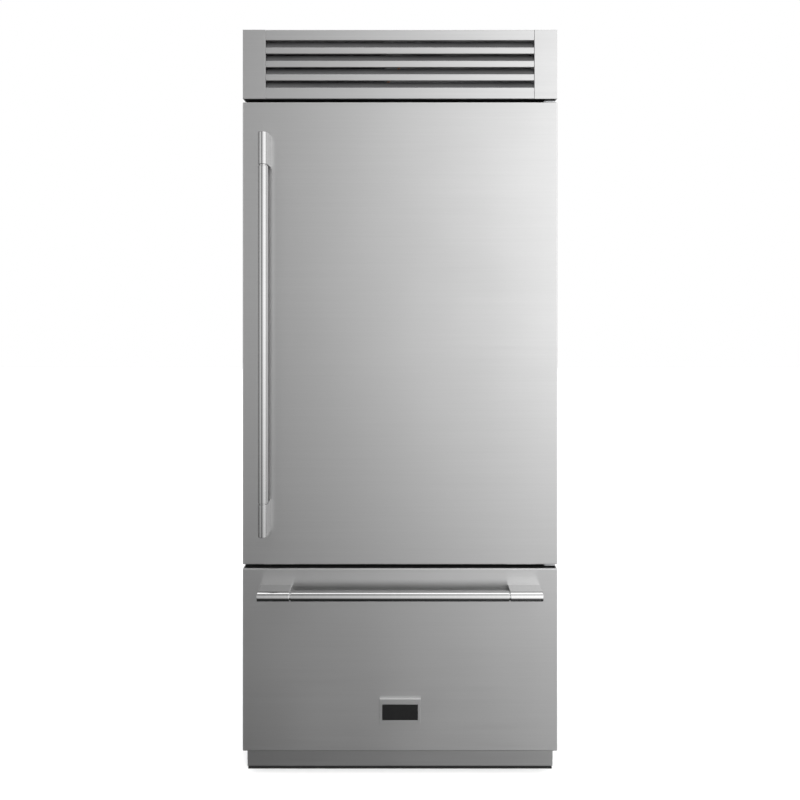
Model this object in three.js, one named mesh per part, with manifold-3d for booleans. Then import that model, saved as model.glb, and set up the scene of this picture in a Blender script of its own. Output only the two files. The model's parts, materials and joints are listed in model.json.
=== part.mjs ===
// Built-in bottom freezer refrigerator, in millimetres, +Z up.
// The pieces are laid out with y = 0 on the door's outer face, +y into the cabinet and z = 0 on the floor.
// The exported group is shifted along y so that its origin lies at the middle of the overall depth.
import * as THREE from 'three';
import { mergeVertices } from 'three/addons/utils/BufferGeometryUtils.js';
import Module from 'manifold-3d';

const wasm = await Module();
wasm.setup();

// ---------------------------------------------------------------- driving dimensions

// Cabinet
const cabinetWidth = 900;
const cabinetDepth = 578;
const sheet = 1.5;
const frontFrameDepth = 4;
const sideSkirt = 25;
const sideWall = 62;
const backWall = 62;
const floorInsulation = 56;
const mullionHeight = 70;
const ceilingInsulation = 32;
const linerWall = 4;
const deckThickness = 2;

// Fronts, from the floor up
const toeSpace = 92;
const drawerHeight = 522;
const drawerDoorGap = 11;
const doorHeight = 1322;
const doorGrilleGap = 10;
const grilleHeight = 198;
const toeRecess = 54;
const toeFloorGap = 7;
const toeLip = 12;
const toeSideGap = 1;

// Door and drawer panels
const panDepth = 40;
const edgeBevel = 2;
const panelLiner = 3;
const gasketSpace = 9;
const gasketWidth = 16;
const gasketSideMargin = 18;
const gasketEndMargin = 12;
const dykeWidth = 14;
const dykeDepth = 50;
const dykeWall = 3;
const dykeSideClearance = 16;
const dykeEndClearance = 13;

// Clearances
const seat = 0.3;
const runningGap = 0.4;
const slidingGap = 0.5;

// Overlap between shapes that are joined into one piece, and overrun of a cut past the face that it cuts
const bite = 1;
const past = 1;

// Handles
const barRadius = 14;
const barStandoff = 36;
const barFacets = 28;
const neckRadius = 11.5;
const grooveWidth = 3.5;
const bracketLength = 91;
const doorHandleLength = 1131;
const doorHandleInset = 66.5;
const drawerHandleInset = 51;
const drawerHandleDrop = 61;

// Badge
const badgeWidth = 124;
const badgeHeight = 76;
const badgeDepth = 6;
const badgeBevel = 3;
const badgePlateWidth = 102;
const badgePlateHeight = 45;
const badgePlateRecess = 1.5;
const badgeCentreAboveDrawer = 117;
const badgePlateDrop = 5;

// Grille
const stileWidth = 66;
const machineLip = 8;
const grilleTopRail = 31;
const grilleBottomRail = 32.5;
const louverCount = 3;
const louverFace = 18.8;
const grilleFaceSetback = 2;
const grilleSheet = 2;
const finRise = 18;
const finRun = 12;

// Hinges
const hingeInset = 14;
const hingePinSetback = 20;
const hingePinRadius = 5;
const hingePlate = 5;
const hingeArmInboard = 24;
const hingeArmOutboard = 12;
const hingePinLength = 18;
const hingeFlange = 3;
const hingeFlangeHeight = 17;
const hingeWasherRadius = 9;

// Base
const basePlate = 3;
const baseRailDrop = 59;
const cheekThickness = 3;
const cheekLength = 60;
const cheekFloorGap = 12;
const cheekWheelGap = 3;
const rollerRadius = 25;
const rollerWidth = 22;
const rollerAxleRadius = 5;
const rollerAxleLength = 40;
const rollerInset = 50;
const rollerFromBack = 70;
const legFootRadius = 22;
const legFootHeight = 8;
const legRodRadius = 6;
const legRodTop = 66;
const legBlock = 40;
const legBlockBottom = 55;
const legFromFront = 46;

// Fridge inside
const shelfThickness = 6;
const shelfFrontSetback = 123;
const shelfBackGap = 8;
const crisperShelfRise = 245;
const shelfSpacing = 250;
const shelfCount = 3;
const crisperWeb = 8;
const shelfRailWidth = 12;
const shelfRailHeight = 8;
const crisperHeight = 228;
const crisperWall = 2.5;
const crisperCentreGap = 12;
const crisperSideGap = 4;
const crisperFrontSetback = 12;
const crisperLip = 14;
const ductHalfWidth = 90;
const ductDepth = 7;
const ductBottomAbove = 12;
const ductTopBelow = 40;
const consoleHalfWidth = 170;
const consoleSetback = 25;
const consoleDepth = 230;
const consoleDrop = 25;
const consoleNose = 30;

// Door inside
const binReach = 97;
const binHeight = 90;
const binWall = 2.5;
const binSpacing = 320.5;
const binCount = 3;
const lowestBinRise = 2;
const binPegWidth = 8;
const binPegHeight = 6;
const binPegLength = 40;
const dairyHalfWidth = 200;
const dairyReach = 97;
const dairyHeight = 115;
const dairyWallHeight = 50;
const dairyLidGap = 2;
const dairyWall = 3;
const dairyLidSheet = 3;
const dairyHingeDrop = 182;
const dairyHingeSetback = 9;
const dairyPinRadius = 3;
const dairyBarrelRadius = 5;
const dairyEar = 3;
const dairyEarRim = 3;
const dairyEarDrop = 11;

// Freezer inside
const railRise = 252;
const railHeight = 46;
const railSheet = 2;
const railFlange = 14;
const railFrontGap = 6;
const railBackGap = 7;
const memberThickness = 9.5;
const memberGroove = 5;
const memberGrooveHeight = 20;
const drawerRailThickness = 4.4;
const drawerRailHeight = 40;
const drawerRailShort = 10;
const drawerLedgeWidth = 14;
const drawerLedgeThickness = 3;
const crossPlate = 4;
const basketWall = 3;
const basketFloorGap = 17;
const basketFrontGap = 7;
const basketBackGap = 20;
const basketRimThickness = 4;
const basketSideGap = 3;
const trayHeight = 105;
const trayDepth = 200;
const trayWall = 3;
const traySideGap = 5;
const drawerPadDepth = 12;
const drawerPadInset = 20;

// Freezer back: cover, evaporator and fan
const evaporatorSpace = 63;
const coverSheet = 3;
const coverFlange = 10;
const evaporatorCoverGap = 10;
const evaporatorDepth = 40;
const evaporatorSideGap = 58;
const evaporatorRise = 27;
const evaporatorHeight = 190;
const evaporatorFins = 9;
const evaporatorTubes = 3;
const evaporatorFanDrop = 107;
const evaporatorFanRadius = 52;
const evaporatorStrapGap = 30;
const strapFootMargin = 10;
const returnSlotWidth = 220;
const returnSlotPitch = 320;
const returnSlotRise = 12;
const returnSlotHeight = 10;

// Machine compartment
const condenserFrontGap = 22;
const condenserDepth = 42;
const condenserSideGap = 23.5;
const condenserWidth = 380;
const condenserFins = 10;
const condenserTubes = 3;
const condenserMargin = 12;
const finSheet = 1.6;
const tubeRadius = 5;
const tubeFacets = 8;
const shroudGap = 30;
const condenserStrapGap = 34;
const shroudSheet = 2;
const condenserFanRadius = 72;
const fanTipGap = 5;
const fanHubRadius = 18;
const bladeRoot = 4;
const fanHubLength = 22;
const fanBladeCount = 5;
const fanBladeSheet = 2.5;
const fanBladeChord = 30;
const fanBladePitch = 0.5;
const fanShaftRadius = 4;
const fanShaftLength = 26;
const strapWidth = 18;
const strapSheet = 3;
const bossRadius = 9;
const bossLength = 14;
const fanFromStrap = 6;
const compressorX = 90;
const compressorFromBack = 230;
const compressorRadius = 84;
const compressorBody = 100;
const compressorDome = 60;
const compressorDomeSteps = 4;
const compressorFoot = 5;
const compressorFootSize = 190;
const compressorStub = 30;
const compressorStubWall = 1;
const compressorStubHeight = 120;
const controlBoxSideGap = 43.5;
const controlBoxWidth = 150;
const controlBoxDepth = 150;
const controlBoxHeight = 125;
const inletWidth = 48;
const inletHeight = 27;
const inletRecess = 16;
const inletRise = 60;
const inletPinPitch = 13;
const inletPinWidth = 2;
const inletPinHeight = 7;
const inletPinRise = 9;
const inletPinSetback = 3;
const pipeRadius = 4;
const pipeStraight = 18;
const pipeBend = 28;
const pipeFacets = 8;
const pipeSteps = 36;
const topFlange = 30;

// ---------------------------------------------------------------- sizes worked out from these

const halfWidth = cabinetWidth / 2;
const innerHalf = halfWidth - sheet;
const cavityHalf = halfWidth - sideWall;
const bodyFront = panDepth + panelLiner + gasketSpace;
const linerFront = bodyFront + frontFrameDepth;
const bodyBack = bodyFront + cabinetDepth;
const cavityBack = bodyBack - backWall;
const drawerTop = toeSpace + drawerHeight;
const doorBottom = drawerTop + drawerDoorGap;
const doorTop = doorBottom + doorHeight;
const grilleBottom = doorTop + doorGrilleGap;
const overallHeight = grilleBottom + grilleHeight;
const panelBack = panDepth + panelLiner;
const handleProjection = barStandoff + barRadius;
const overallDepth = bodyBack + handleProjection;
const freezerFloor = toeSpace + floorInsulation;
const mullionCentre = drawerTop + drawerDoorGap / 2;
const freezerCeiling = mullionCentre - mullionHeight / 2;
const fridgeFloor = mullionCentre + mullionHeight / 2;
const fridgeCeiling = doorTop - ceilingInsulation;
const crisperShelfHeight = fridgeFloor + crisperShelfRise;
const shelfHeights = Array.from({ length: shelfCount },
  (_, i) => crisperShelfHeight + (i + 1) * shelfSpacing);
const hingeX = halfWidth - hingeInset;
const baseTop = toeSpace;
const baseUnder = baseTop - basePlate;
const supportX = halfWidth - rollerInset;
const shelfFront = bodyFront + shelfFrontSetback;
const shelfBack = cavityBack - shelfBackGap;
const binBack = panelBack + seat;
const binFront = panelBack + binReach;
const dykeHalf = cavityHalf - dykeSideClearance;
const dykeInnerHalf = dykeHalf - dykeWidth;
const dykeBottom = fridgeFloor + dykeEndClearance;
const dykeTop = fridgeCeiling - dykeEndClearance;
const dykeBack = panelBack + dykeDepth;
const lowestBin = dykeBottom + dykeWidth + lowestBinRise;
const binBottoms = Array.from({ length: binCount }, (_, i) => lowestBin + i * binSpacing);
const dairyHingeHeight = doorTop - dairyHingeDrop;
const dairyHingeY = panelBack + dairyHingeSetback;
const dairyFront = panelBack + dairyReach;
const dairyBottom = dairyHingeHeight - dairyHeight;
const dairyWallTop = dairyBottom + dairyWallHeight;
const coverFront = cavityBack - evaporatorSpace;
const railCentreHeight = freezerFloor + railRise;
const railStart = bodyFront + railFrontGap;
const railEnd = coverFront - railBackGap;
const drawerRailBack = railEnd - drawerRailShort;
const basketFront = panelBack + drawerPadDepth + basketFrontGap;
const basketBack = coverFront - basketBackGap;

// ---------------------------------------------------------------- shape helpers

/** A box between two corners, given as [low, high] along each axis. */
function block([x0, x1], [y0, y1], [z0, z1]) {
  const box = new THREE.BoxGeometry(x1 - x0, y1 - y0, z1 - z0);
  return box.translate((x0 + x1) / 2, (y0 + y1) / 2, (z0 + z1) / 2);
}

/** A round bar along one axis ('x', 'y' or 'z'), from one end to the other, centred on the other two. */
function rod(axis, from, to, centre, radius, facets = 24) {
  const bar = new THREE.CylinderGeometry(radius, radius, to - from, facets);
  const middle = (from + to) / 2;
  if (axis === 'x') {
    return bar.rotateZ(Math.PI / 2).translate(middle, centre[0], centre[1]);
  }
  if (axis === 'y') {
    return bar.translate(centre[0], middle, centre[1]);
  }
  return bar.rotateX(Math.PI / 2).translate(centre[0], centre[1], middle);
}

/** The circumscribed radius of a faceted hole that leaves the given clear radius at its flats. */
function holeRadius(clearRadius, facets) {
  return clearRadius / Math.cos(Math.PI / facets);
}

/** An outline in the y-z plane, carried along x. */
function extrudeAlongX(points, x0, x1) {
  const outline = new THREE.Shape(points.map(([y, z]) => new THREE.Vector2(y, z)));
  const prism = new THREE.ExtrudeGeometry(outline, { depth: x1 - x0, bevelEnabled: false });
  const turn = new THREE.Matrix4().makeBasis(
    new THREE.Vector3(0, 1, 0),
    new THREE.Vector3(0, 0, 1),
    new THREE.Vector3(1, 0, 0),
  );
  return prism.applyMatrix4(turn).translate(x0, 0, 0);
}

/** A solid of revolution about a vertical axis, from a profile of [radius, height] points. */
function turned(profile, facets = 24) {
  const points = profile.map(([r, z]) => new THREE.Vector2(r, z));
  return new THREE.LatheGeometry(points, facets).rotateX(Math.PI / 2);
}

/** The closed solid of a geometry. */
function solidOf(geometry) {
  const bare = geometry.clone();
  bare.deleteAttribute('normal');
  bare.deleteAttribute('uv');
  const merged = mergeVertices(bare, 1e-4);
  return new wasm.Manifold(new wasm.Mesh({
    numProp: 3,
    vertProperties: new Float32Array(merged.attributes.position.array),
    triVerts: new Uint32Array(merged.index.array),
  }));
}

/** The geometry of a closed solid. */
function geometryOf(solid) {
  const mesh = solid.getMesh();
  const geometry = new THREE.BufferGeometry();
  geometry.setAttribute('position', new THREE.BufferAttribute(new Float32Array(mesh.vertProperties), 3));
  geometry.setIndex(new THREE.BufferAttribute(new Uint32Array(mesh.triVerts), 1));
  geometry.computeVertexNormals();
  return geometry;
}

/** All the given shapes joined into one. */
function join(first, ...others) {
  let solid = solidOf(first);
  for (const other of others) {
    solid = solid.add(solidOf(other));
  }
  return geometryOf(solid);
}

/** The first shape with all the others cut out of it. */
function cut(first, ...others) {
  let solid = solidOf(first);
  for (const other of others) {
    solid = solid.subtract(solidOf(other));
  }
  return geometryOf(solid);
}

/** The space that two shapes share. */
function common(first, other) {
  return geometryOf(solidOf(first).intersect(solidOf(other)));
}

/** A finish: colour, roughness and metalness. */
function finish(color, roughness, metalness) {
  return () => new THREE.MeshStandardMaterial({ color, roughness, metalness });
}

const brushedSteel = finish(0xb9bab9, 0.32, 1);
const polishedSteel = finish(0xc8c9c8, 0.22, 1);
const blackSteel = finish(0x191919, 0.5, 0.6);
const greySheet = finish(0x8f9294, 0.45, 0.8);
const zincSheet = finish(0xa9adb0, 0.4, 0.9);
const whiteLiner = finish(0xf0f1f0, 0.35, 0);
const clearPlastic = finish(0xdfe8ea, 0.15, 0);
const shelfGlass = finish(0xcfe3dd, 0.05, 0);
const greyRubber = finish(0x77797b, 0.75, 0);
const blackPlastic = finish(0x202122, 0.55, 0);
const foamYellow = finish(0xd9c88a, 0.9, 0);
const copper = finish(0xb87346, 0.35, 1);
const aluminium = finish(0xc4c7c9, 0.4, 1);

/** Adds one named piece to a group. */
function place(group, name, geometry, makeMaterial) {
  const mesh = new THREE.Mesh(geometry, makeMaterial());
  mesh.name = name;
  group.add(mesh);
}

/** A rectangular ring between an outer and an inner outline, [x0, x1, z0, z1] each. */
function ring(outer, inner, [y0, y1]) {
  const whole = block([outer[0], outer[1]], [y0, y1], [outer[2], outer[3]]);
  const window = block([inner[0], inner[1]], [y0 - past, y1 + past], [inner[2], inner[3]]);
  return cut(whole, window);
}

/** A rectangular outline taken in by a margin on all sides. */
function inset([x0, x1, z0, z1], margin) {
  return [x0 + margin, x1 - margin, z0 + margin, z1 - margin];
}

/** A sheet pan open at the back, with its front edges rounded over. */
function pan(outline, depth) {
  const [x0, x1, z0, z1] = outline;
  const face = new THREE.Shape([
    new THREE.Vector2(x0, -z0),
    new THREE.Vector2(x0, -z1),
    new THREE.Vector2(x1, -z1),
    new THREE.Vector2(x1, -z0),
  ]);
  const slab = new THREE.ExtrudeGeometry(face, {
    depth,
    bevelEnabled: true,
    bevelThickness: edgeBevel,
    bevelSize: edgeBevel,
    bevelOffset: -edgeBevel,
    bevelSegments: 2,
  });
  slab.rotateX(-Math.PI / 2);
  slab.translate(0, edgeBevel, 0);
  const kept = common(slab, block([x0 - past, x1 + past], [-past, depth], [z0 - past, z1 + past]));
  const hollow = inset(outline, sheet);
  return cut(kept,
    block([hollow[0], hollow[1]], [sheet + edgeBevel / 2, depth + past], [hollow[2], hollow[3]]));
}

/** An open-topped bin with walls of one thickness. */
function bin([x0, x1], [y0, y1], [z0, z1], wall) {
  return cut(
    block([x0, x1], [y0, y1], [z0, z1]),
    block([x0 + wall, x1 - wall], [y0 + wall, y1 - wall], [z0 + wall, z1 + past]),
  );
}

// ---------------------------------------------------------------- cabinet

/** The liner of one compartment: a box open to the front, with its walls outside the clear space. */
function compartmentLiner(z0, z1) {
  const outside = cavityHalf + linerWall;
  return cut(
    block([-outside, outside], [linerFront, cavityBack + linerWall], [z0 - linerWall, z1 + linerWall]),
    block([-cavityHalf, cavityHalf], [linerFront - past, cavityBack], [z0, z1]),
  );
}

function cabinetShell(group) {
  for (const [name, side] of [['side_panel_left', -1], ['side_panel_right', 1]]) {
    const across = side < 0 ? [-halfWidth, -innerHalf] : [innerHalf, halfWidth];
    place(group, name, block(across, [linerFront, bodyBack], [sideSkirt, overallHeight]), greySheet);
  }
  const deckTop = grilleBottom;
  const deckUnder = deckTop - deckThickness;
  const backInside = bodyBack - sheet;
  place(group, 'back_panel',
    block([-innerHalf, innerHalf], [backInside, bodyBack], [toeSpace - basePlate, deckTop]), zincSheet);
  place(group, 'machine_deck',
    block([-innerHalf, innerHalf], [linerFront, backInside], [deckUnder, deckTop]), zincSheet);
  const coverPlate = block([-innerHalf, innerHalf], [linerFront, bodyBack],
    [overallHeight - deckThickness, overallHeight]);
  const coverLip = block([-innerHalf, innerHalf], [bodyBack - deckThickness, bodyBack],
    [overallHeight - topFlange, overallHeight]);
  place(group, 'top_cover', join(coverPlate, coverLip), greySheet);

  const outside = cavityHalf + linerWall;
  const pocketDepth = [linerFront - past, cavityBack + linerWall];
  const foam = cut(
    block([-innerHalf, innerHalf], [linerFront, backInside], [toeSpace, deckUnder]),
    block([-outside, outside], pocketDepth, [fridgeFloor - linerWall, fridgeCeiling + linerWall]),
    block([-outside, outside], pocketDepth, [freezerFloor - linerWall, freezerCeiling + linerWall]),
  );
  place(group, 'insulation_foam', foam, foamYellow);

  const duct = block([-ductHalfWidth, ductHalfWidth], [cavityBack - ductDepth, cavityBack + linerWall / 2],
    [crisperShelfHeight + ductBottomAbove, fridgeCeiling - ductTopBelow]);
  place(group, 'fridge_liner',
    join(compartmentLiner(fridgeFloor, fridgeCeiling), duct), whiteLiner);
  place(group, 'freezer_liner', compartmentLiner(freezerFloor, freezerCeiling), whiteLiner);

  const frameOpening = [bodyFront - past, linerFront + past];
  const machineHalf = halfWidth - stileWidth / 2;
  const frontFrame = cut(
    block([-halfWidth, halfWidth], [bodyFront, linerFront], [toeSpace, overallHeight]),
    block([-cavityHalf, cavityHalf], frameOpening, [fridgeFloor, fridgeCeiling]),
    block([-cavityHalf, cavityHalf], frameOpening, [freezerFloor, freezerCeiling]),
    block([-machineHalf, machineHalf], frameOpening,
      [grilleBottom + machineLip, overallHeight - machineLip]),
  );
  place(group, 'front_frame', frontFrame, blackSteel);
}

/** The base: a plate with side rails, a threaded block for each leg and two cheeks for each roller. */
function base(group) {
  const rollerY = bodyBack - rollerFromBack;
  const legY = bodyFront + legFromFront;
  const railFront = toeRecess + sheet + seat;
  const solids = [block([-innerHalf, innerHalf], [linerFront, bodyBack - sheet], [baseUnder, baseTop])];
  const holes = [];
  for (const side of [-1, 1]) {
    const outer = side * (innerHalf - seat);
    const inner = side * (innerHalf - seat - cheekThickness);
    solids.push(block([Math.min(outer, inner), Math.max(outer, inner)], [railFront, bodyBack - sheet],
      [baseUnder - baseRailDrop, baseUnder + bite]));
    const x = side * supportX;
    solids.push(block([x - legBlock / 2, x + legBlock / 2], [legY - legBlock / 2, legY + legBlock / 2],
      [legBlockBottom, baseUnder + bite]));
    holes.push(rod('z', legBlockBottom - past, baseUnder, [x, legY],
      holeRadius(legRodRadius + runningGap, 24)));
    for (const cheek of [-1, 1]) {
      const near = x + cheek * (rollerWidth / 2 + cheekWheelGap);
      const far = near + cheek * cheekThickness;
      solids.push(block([Math.min(near, far), Math.max(near, far)],
        [rollerY - cheekLength / 2, rollerY + cheekLength / 2], [cheekFloorGap, baseUnder + bite]));
    }
    holes.push(rod('x', x - rollerAxleLength, x + rollerAxleLength, [rollerY, rollerRadius],
      holeRadius(rollerAxleRadius + runningGap, 24)));
  }
  place(group, 'base_frame', cut(join(...solids), ...holes), blackSteel);

  for (const [name, side] of [['leveling_leg_left', -1], ['leveling_leg_right', 1]]) {
    const leg = turned([
      [0, 0], [legFootRadius, 0], [legFootRadius, legFootHeight / 2], [legFootRadius / 2, legFootHeight],
      [legRodRadius, legFootHeight], [legRodRadius, legRodTop], [0, legRodTop],
    ]);
    place(group, name, leg.translate(side * supportX, legY, 0), zincSheet);
  }
  for (const [name, side] of [['roller_left', -1], ['roller_right', 1]]) {
    const halfWheel = rollerWidth / 2;
    const halfAxle = rollerAxleLength / 2;
    const roller = turned([
      [0, -halfAxle], [rollerAxleRadius, -halfAxle], [rollerAxleRadius, -halfWheel],
      [rollerRadius, -halfWheel], [rollerRadius, halfWheel],
      [rollerAxleRadius, halfWheel], [rollerAxleRadius, halfAxle], [0, halfAxle],
    ]);
    place(group, name, roller.rotateY(Math.PI / 2).translate(side * supportX, rollerY, rollerRadius),
      blackPlastic);
  }

  const kickHalf = halfWidth - toeSideGap;
  const kick = join(
    block([-kickHalf, kickHalf], [toeRecess, toeRecess + sheet], [toeFloorGap, toeSpace - seat]),
    block([-kickHalf, kickHalf], [toeRecess, toeRecess + toeLip], [toeFloorGap, toeFloorGap + sheet]),
  );
  place(group, 'toe_kick', kick, brushedSteel);
}

// ---------------------------------------------------------------- grille and machine compartment

/** The section of a fin that rises behind a blade and leans back, from a point on the blade's top edge. */
function finOutline(y, z) {
  return [[y, z - grilleSheet], [y + grilleSheet, z - grilleSheet], [y + finRun, z + finRise - grilleSheet],
    [y + finRun, z + finRise], [y + finRun - grilleSheet, z + finRise], [y, z]];
}

function grille(group) {
  const front = grilleFaceSetback;
  const back = bodyFront - seat;
  const inner = halfWidth - stileWidth;
  const slotBottom = grilleBottom + grilleBottomRail;
  const slotTop = overallHeight - grilleTopRail;
  const wall = grilleSheet;
  const shell = cut(
    block([-halfWidth, halfWidth], [front, back], [grilleBottom, overallHeight]),
    block([-halfWidth + wall, halfWidth - wall], [front + wall, back + past],
      [grilleBottom + wall, overallHeight - wall]),
    block([-inner, inner], [front - past, back + past], [slotBottom, slotTop]),
  );
  const stileWalls = [-1, 1].map((side) => {
    const x = side * inner;
    const across = side < 0 ? [x - wall, x] : [x, x + wall];
    return block(across, [front + wall / 2, back], [grilleBottom + wall / 2, overallHeight - wall / 2]);
  });
  const bottomFin = extrudeAlongX(finOutline(front, slotBottom), -inner - wall / 2, inner + wall / 2);
  place(group, 'grille_frame', join(shell, ...stileWalls, bottomFin), brushedSteel);

  const slot = (slotTop - slotBottom - louverCount * louverFace) / (louverCount + 1);
  for (let i = 0; i < louverCount; i += 1) {
    const top = slotTop - slot - i * (louverFace + slot);
    const x = inner - seat;
    const face = block([-x, x], [front, front + wall], [top - louverFace, top]);
    const fin = extrudeAlongX(finOutline(front, top), -x, x);
    place(group, `grille_louver_${i + 1}`, join(face, fin), brushedSteel);
  }
}

/** A fan on a shaft along y: hub, shaft and pitched blades, as one piece centred on (x, y, z). */
function fan(x, y, z, radius) {
  const solids = [
    rod('y', y - fanHubLength / 2, y + fanHubLength / 2, [x, z], fanHubRadius, 20),
    rod('y', y - fanHubLength / 2, y + fanHubLength / 2 + fanShaftLength, [x, z], fanShaftRadius, 16),
  ];
  const bladeInside = fanHubRadius - bladeRoot;
  for (let i = 0; i < fanBladeCount; i += 1) {
    const blade = block([bladeInside, radius], [-fanBladeSheet / 2, fanBladeSheet / 2],
      [-fanBladeChord / 2, fanBladeChord / 2]);
    blade.rotateX(fanBladePitch);
    blade.rotateY((2 * Math.PI * i) / fanBladeCount);
    solids.push(blade.translate(x, y, z));
  }
  return join(...solids);
}

/** A strap that holds a fan's shaft behind it: an upright bar with a bored boss. Returns solids and bore. */
function fanStrap(x, z, y, z0, z1) {
  return {
    solids: [
      block([x - strapWidth / 2, x + strapWidth / 2], [y, y + strapSheet], [z0, z1]),
      rod('y', y, y + bossLength, [x, z], bossRadius, 20),
    ],
    bore: rod('y', y - past, y + bossLength + past, [x, z], holeRadius(fanShaftRadius + runningGap, 16),
      16),
  };
}

/** A fin and tube coil: upright plates on tubes that run along x, with a sheet at each end of the tubes. */
function coil([x0, x1], [y0, y1], [z0, z1], finCount, tubeCount) {
  const tubes = [];
  const spacing = (z1 - z0) / tubeCount;
  for (let i = 0; i < tubeCount; i += 1) {
    tubes.push(rod('x', x0, x1, [(y0 + y1) / 2, z0 + spacing * (i + 0.5)], tubeRadius, tubeFacets));
  }
  const fins = [];
  for (let i = 0; i < finCount; i += 1) {
    const x = x0 + ((x1 - x0 - finSheet) * i) / (finCount - 1);
    fins.push(block([x, x + finSheet], [y0, y1], [z0, z1]));
  }
  return [...tubes, ...fins];
}

function machineCompartment(group) {
  const floor = grilleBottom;
  const ceiling = overallHeight - deckThickness;
  const coilZ = [floor + condenserMargin, ceiling - condenserMargin];
  const condenserLeft = -innerHalf + condenserSideGap;
  const right = condenserLeft + condenserWidth;
  const condenserFront = linerFront + condenserFrontGap;
  const condenserBack = condenserFront + condenserDepth;
  const shroudFront = condenserBack + shroudGap;
  const fanX = condenserLeft + condenserWidth / 2;
  const fanZ = (floor + ceiling) / 2;
  const strapY = shroudFront + shroudSheet + condenserStrapGap;
  const fanY = strapY - fanFromStrap - fanHubLength / 2;
  const strap = fanStrap(fanX, fanZ, strapY, floor, ceiling - condenserMargin);
  const opening = condenserFanRadius + fanTipGap;
  const shroud = cut(
    block([condenserLeft, right], [shroudFront, shroudFront + shroudSheet],
      [floor, ceiling - condenserMargin]),
    rod('y', shroudFront - past, shroudFront + shroudSheet + past, [fanX, fanZ], opening, 32),
  );
  const tray = block([condenserLeft, right], [condenserFront, strapY + strapSheet],
    [floor, floor + shroudSheet]);
  const feet = [condenserLeft, right - finSheet].map((x) =>
    block([x, x + finSheet], [condenserFront, condenserBack], [floor, coilZ[0] + bite]));
  const tubesAndFins = coil(
    [condenserLeft, right], [condenserFront, condenserBack], coilZ, condenserFins, condenserTubes,
  );
  const condenser = cut(join(...tubesAndFins, ...feet, shroud, tray, ...strap.solids), strap.bore);
  place(group, 'condenser', condenser, aluminium);
  place(group, 'condenser_fan', fan(fanX, fanY, fanZ, condenserFanRadius), blackPlastic);

  const compressorY = bodyBack - compressorFromBack;
  const dome = Array.from({ length: compressorDomeSteps }, (_, i) => {
    const angle = (Math.PI / 2) * (i / compressorDomeSteps);
    return [compressorRadius * Math.cos(angle), compressorBody + compressorDome * Math.sin(angle)];
  });
  const body = turned([
    [0, compressorFoot], [compressorRadius, compressorFoot], ...dome, [0, compressorBody + compressorDome],
  ], 28).translate(compressorX, compressorY, floor);
  const foot = block(
    [compressorX - compressorFootSize / 2, compressorX + compressorFootSize / 2],
    [compressorY - compressorFootSize / 2, compressorY + compressorFootSize / 2],
    [floor, floor + compressorFoot + bite],
  );
  const stubZ = floor + compressorStubHeight;
  const stubEnd = compressorX - compressorRadius - compressorStub;
  const stub = rod('x', stubEnd, compressorX, [compressorY, stubZ], pipeRadius + compressorStubWall, 12);
  place(group, 'compressor', join(body, foot, stub), blackSteel);

  const tubeSpacing = (coilZ[1] - coilZ[0]) / condenserTubes;
  const headerZ = coilZ[1] - tubeSpacing / 2;
  const coilY = (condenserFront + condenserBack) / 2;
  const turnOut = pipeStraight + pipeBend;
  const pipePath = new THREE.CatmullRomCurve3([
    new THREE.Vector3(stubEnd - seat, compressorY, stubZ),
    new THREE.Vector3(stubEnd - pipeStraight, compressorY, stubZ),
    new THREE.Vector3(stubEnd - turnOut, compressorY - pipeBend, stubZ),
    new THREE.Vector3(right + turnOut, coilY + turnOut + pipeBend, headerZ),
    new THREE.Vector3(right + turnOut, coilY + pipeBend, headerZ),
    new THREE.Vector3(right + pipeStraight, coilY, headerZ),
    new THREE.Vector3(right + seat, coilY, headerZ),
  ]);
  const section = new THREE.Shape();
  section.absarc(0, 0, pipeRadius, 0, 2 * Math.PI);
  const pipe = new THREE.ExtrudeGeometry(section, {
    steps: pipeSteps,
    curveSegments: pipeFacets / 2,
    extrudePath: pipePath,
  });
  place(group, 'refrigerant_pipe', pipe, copper);

  const boxBack = bodyBack - deckThickness - seat;
  const controlBoxX = innerHalf - controlBoxSideGap - controlBoxWidth;
  const inletX = controlBoxX + controlBoxWidth / 2;
  const inletZ0 = floor + inletRise;
  const controlBox = cut(
    block([controlBoxX, controlBoxX + controlBoxWidth], [boxBack - controlBoxDepth, boxBack],
      [floor, floor + controlBoxHeight]),
    block([inletX - inletWidth / 2, inletX + inletWidth / 2], [boxBack - inletRecess, boxBack + past],
      [inletZ0, inletZ0 + inletHeight]),
  );
  const pins = [-1, 0, 1].map((i) => {
    const x = inletX + i * inletPinPitch;
    return block([x - inletPinWidth / 2, x + inletPinWidth / 2],
      [boxBack - inletRecess - bite, boxBack - inletPinSetback],
      [inletZ0 + inletPinRise, inletZ0 + inletPinRise + inletPinHeight]);
  });
  place(group, 'control_box', join(controlBox, ...pins), greySheet);
}

// ---------------------------------------------------------------- inside the fridge

/** A glass pane in a frame of rails that runs below its edges and fits between the liner's side walls. */
function framedShelf(height) {
  const paneHalf = cavityHalf - slidingGap;
  const under = height - shelfThickness;
  const rails = cut(
    block([-cavityHalf, cavityHalf], [shelfFront, shelfBack], [under - shelfRailHeight, under + bite]),
    block([shelfRailWidth - cavityHalf, cavityHalf - shelfRailWidth],
      [shelfFront + shelfRailWidth, shelfBack - shelfRailWidth],
      [under - shelfRailHeight - past, under + bite + past]),
  );
  return join(block([-paneHalf, paneHalf], [shelfFront, shelfBack], [under, height]), rails);
}

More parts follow.
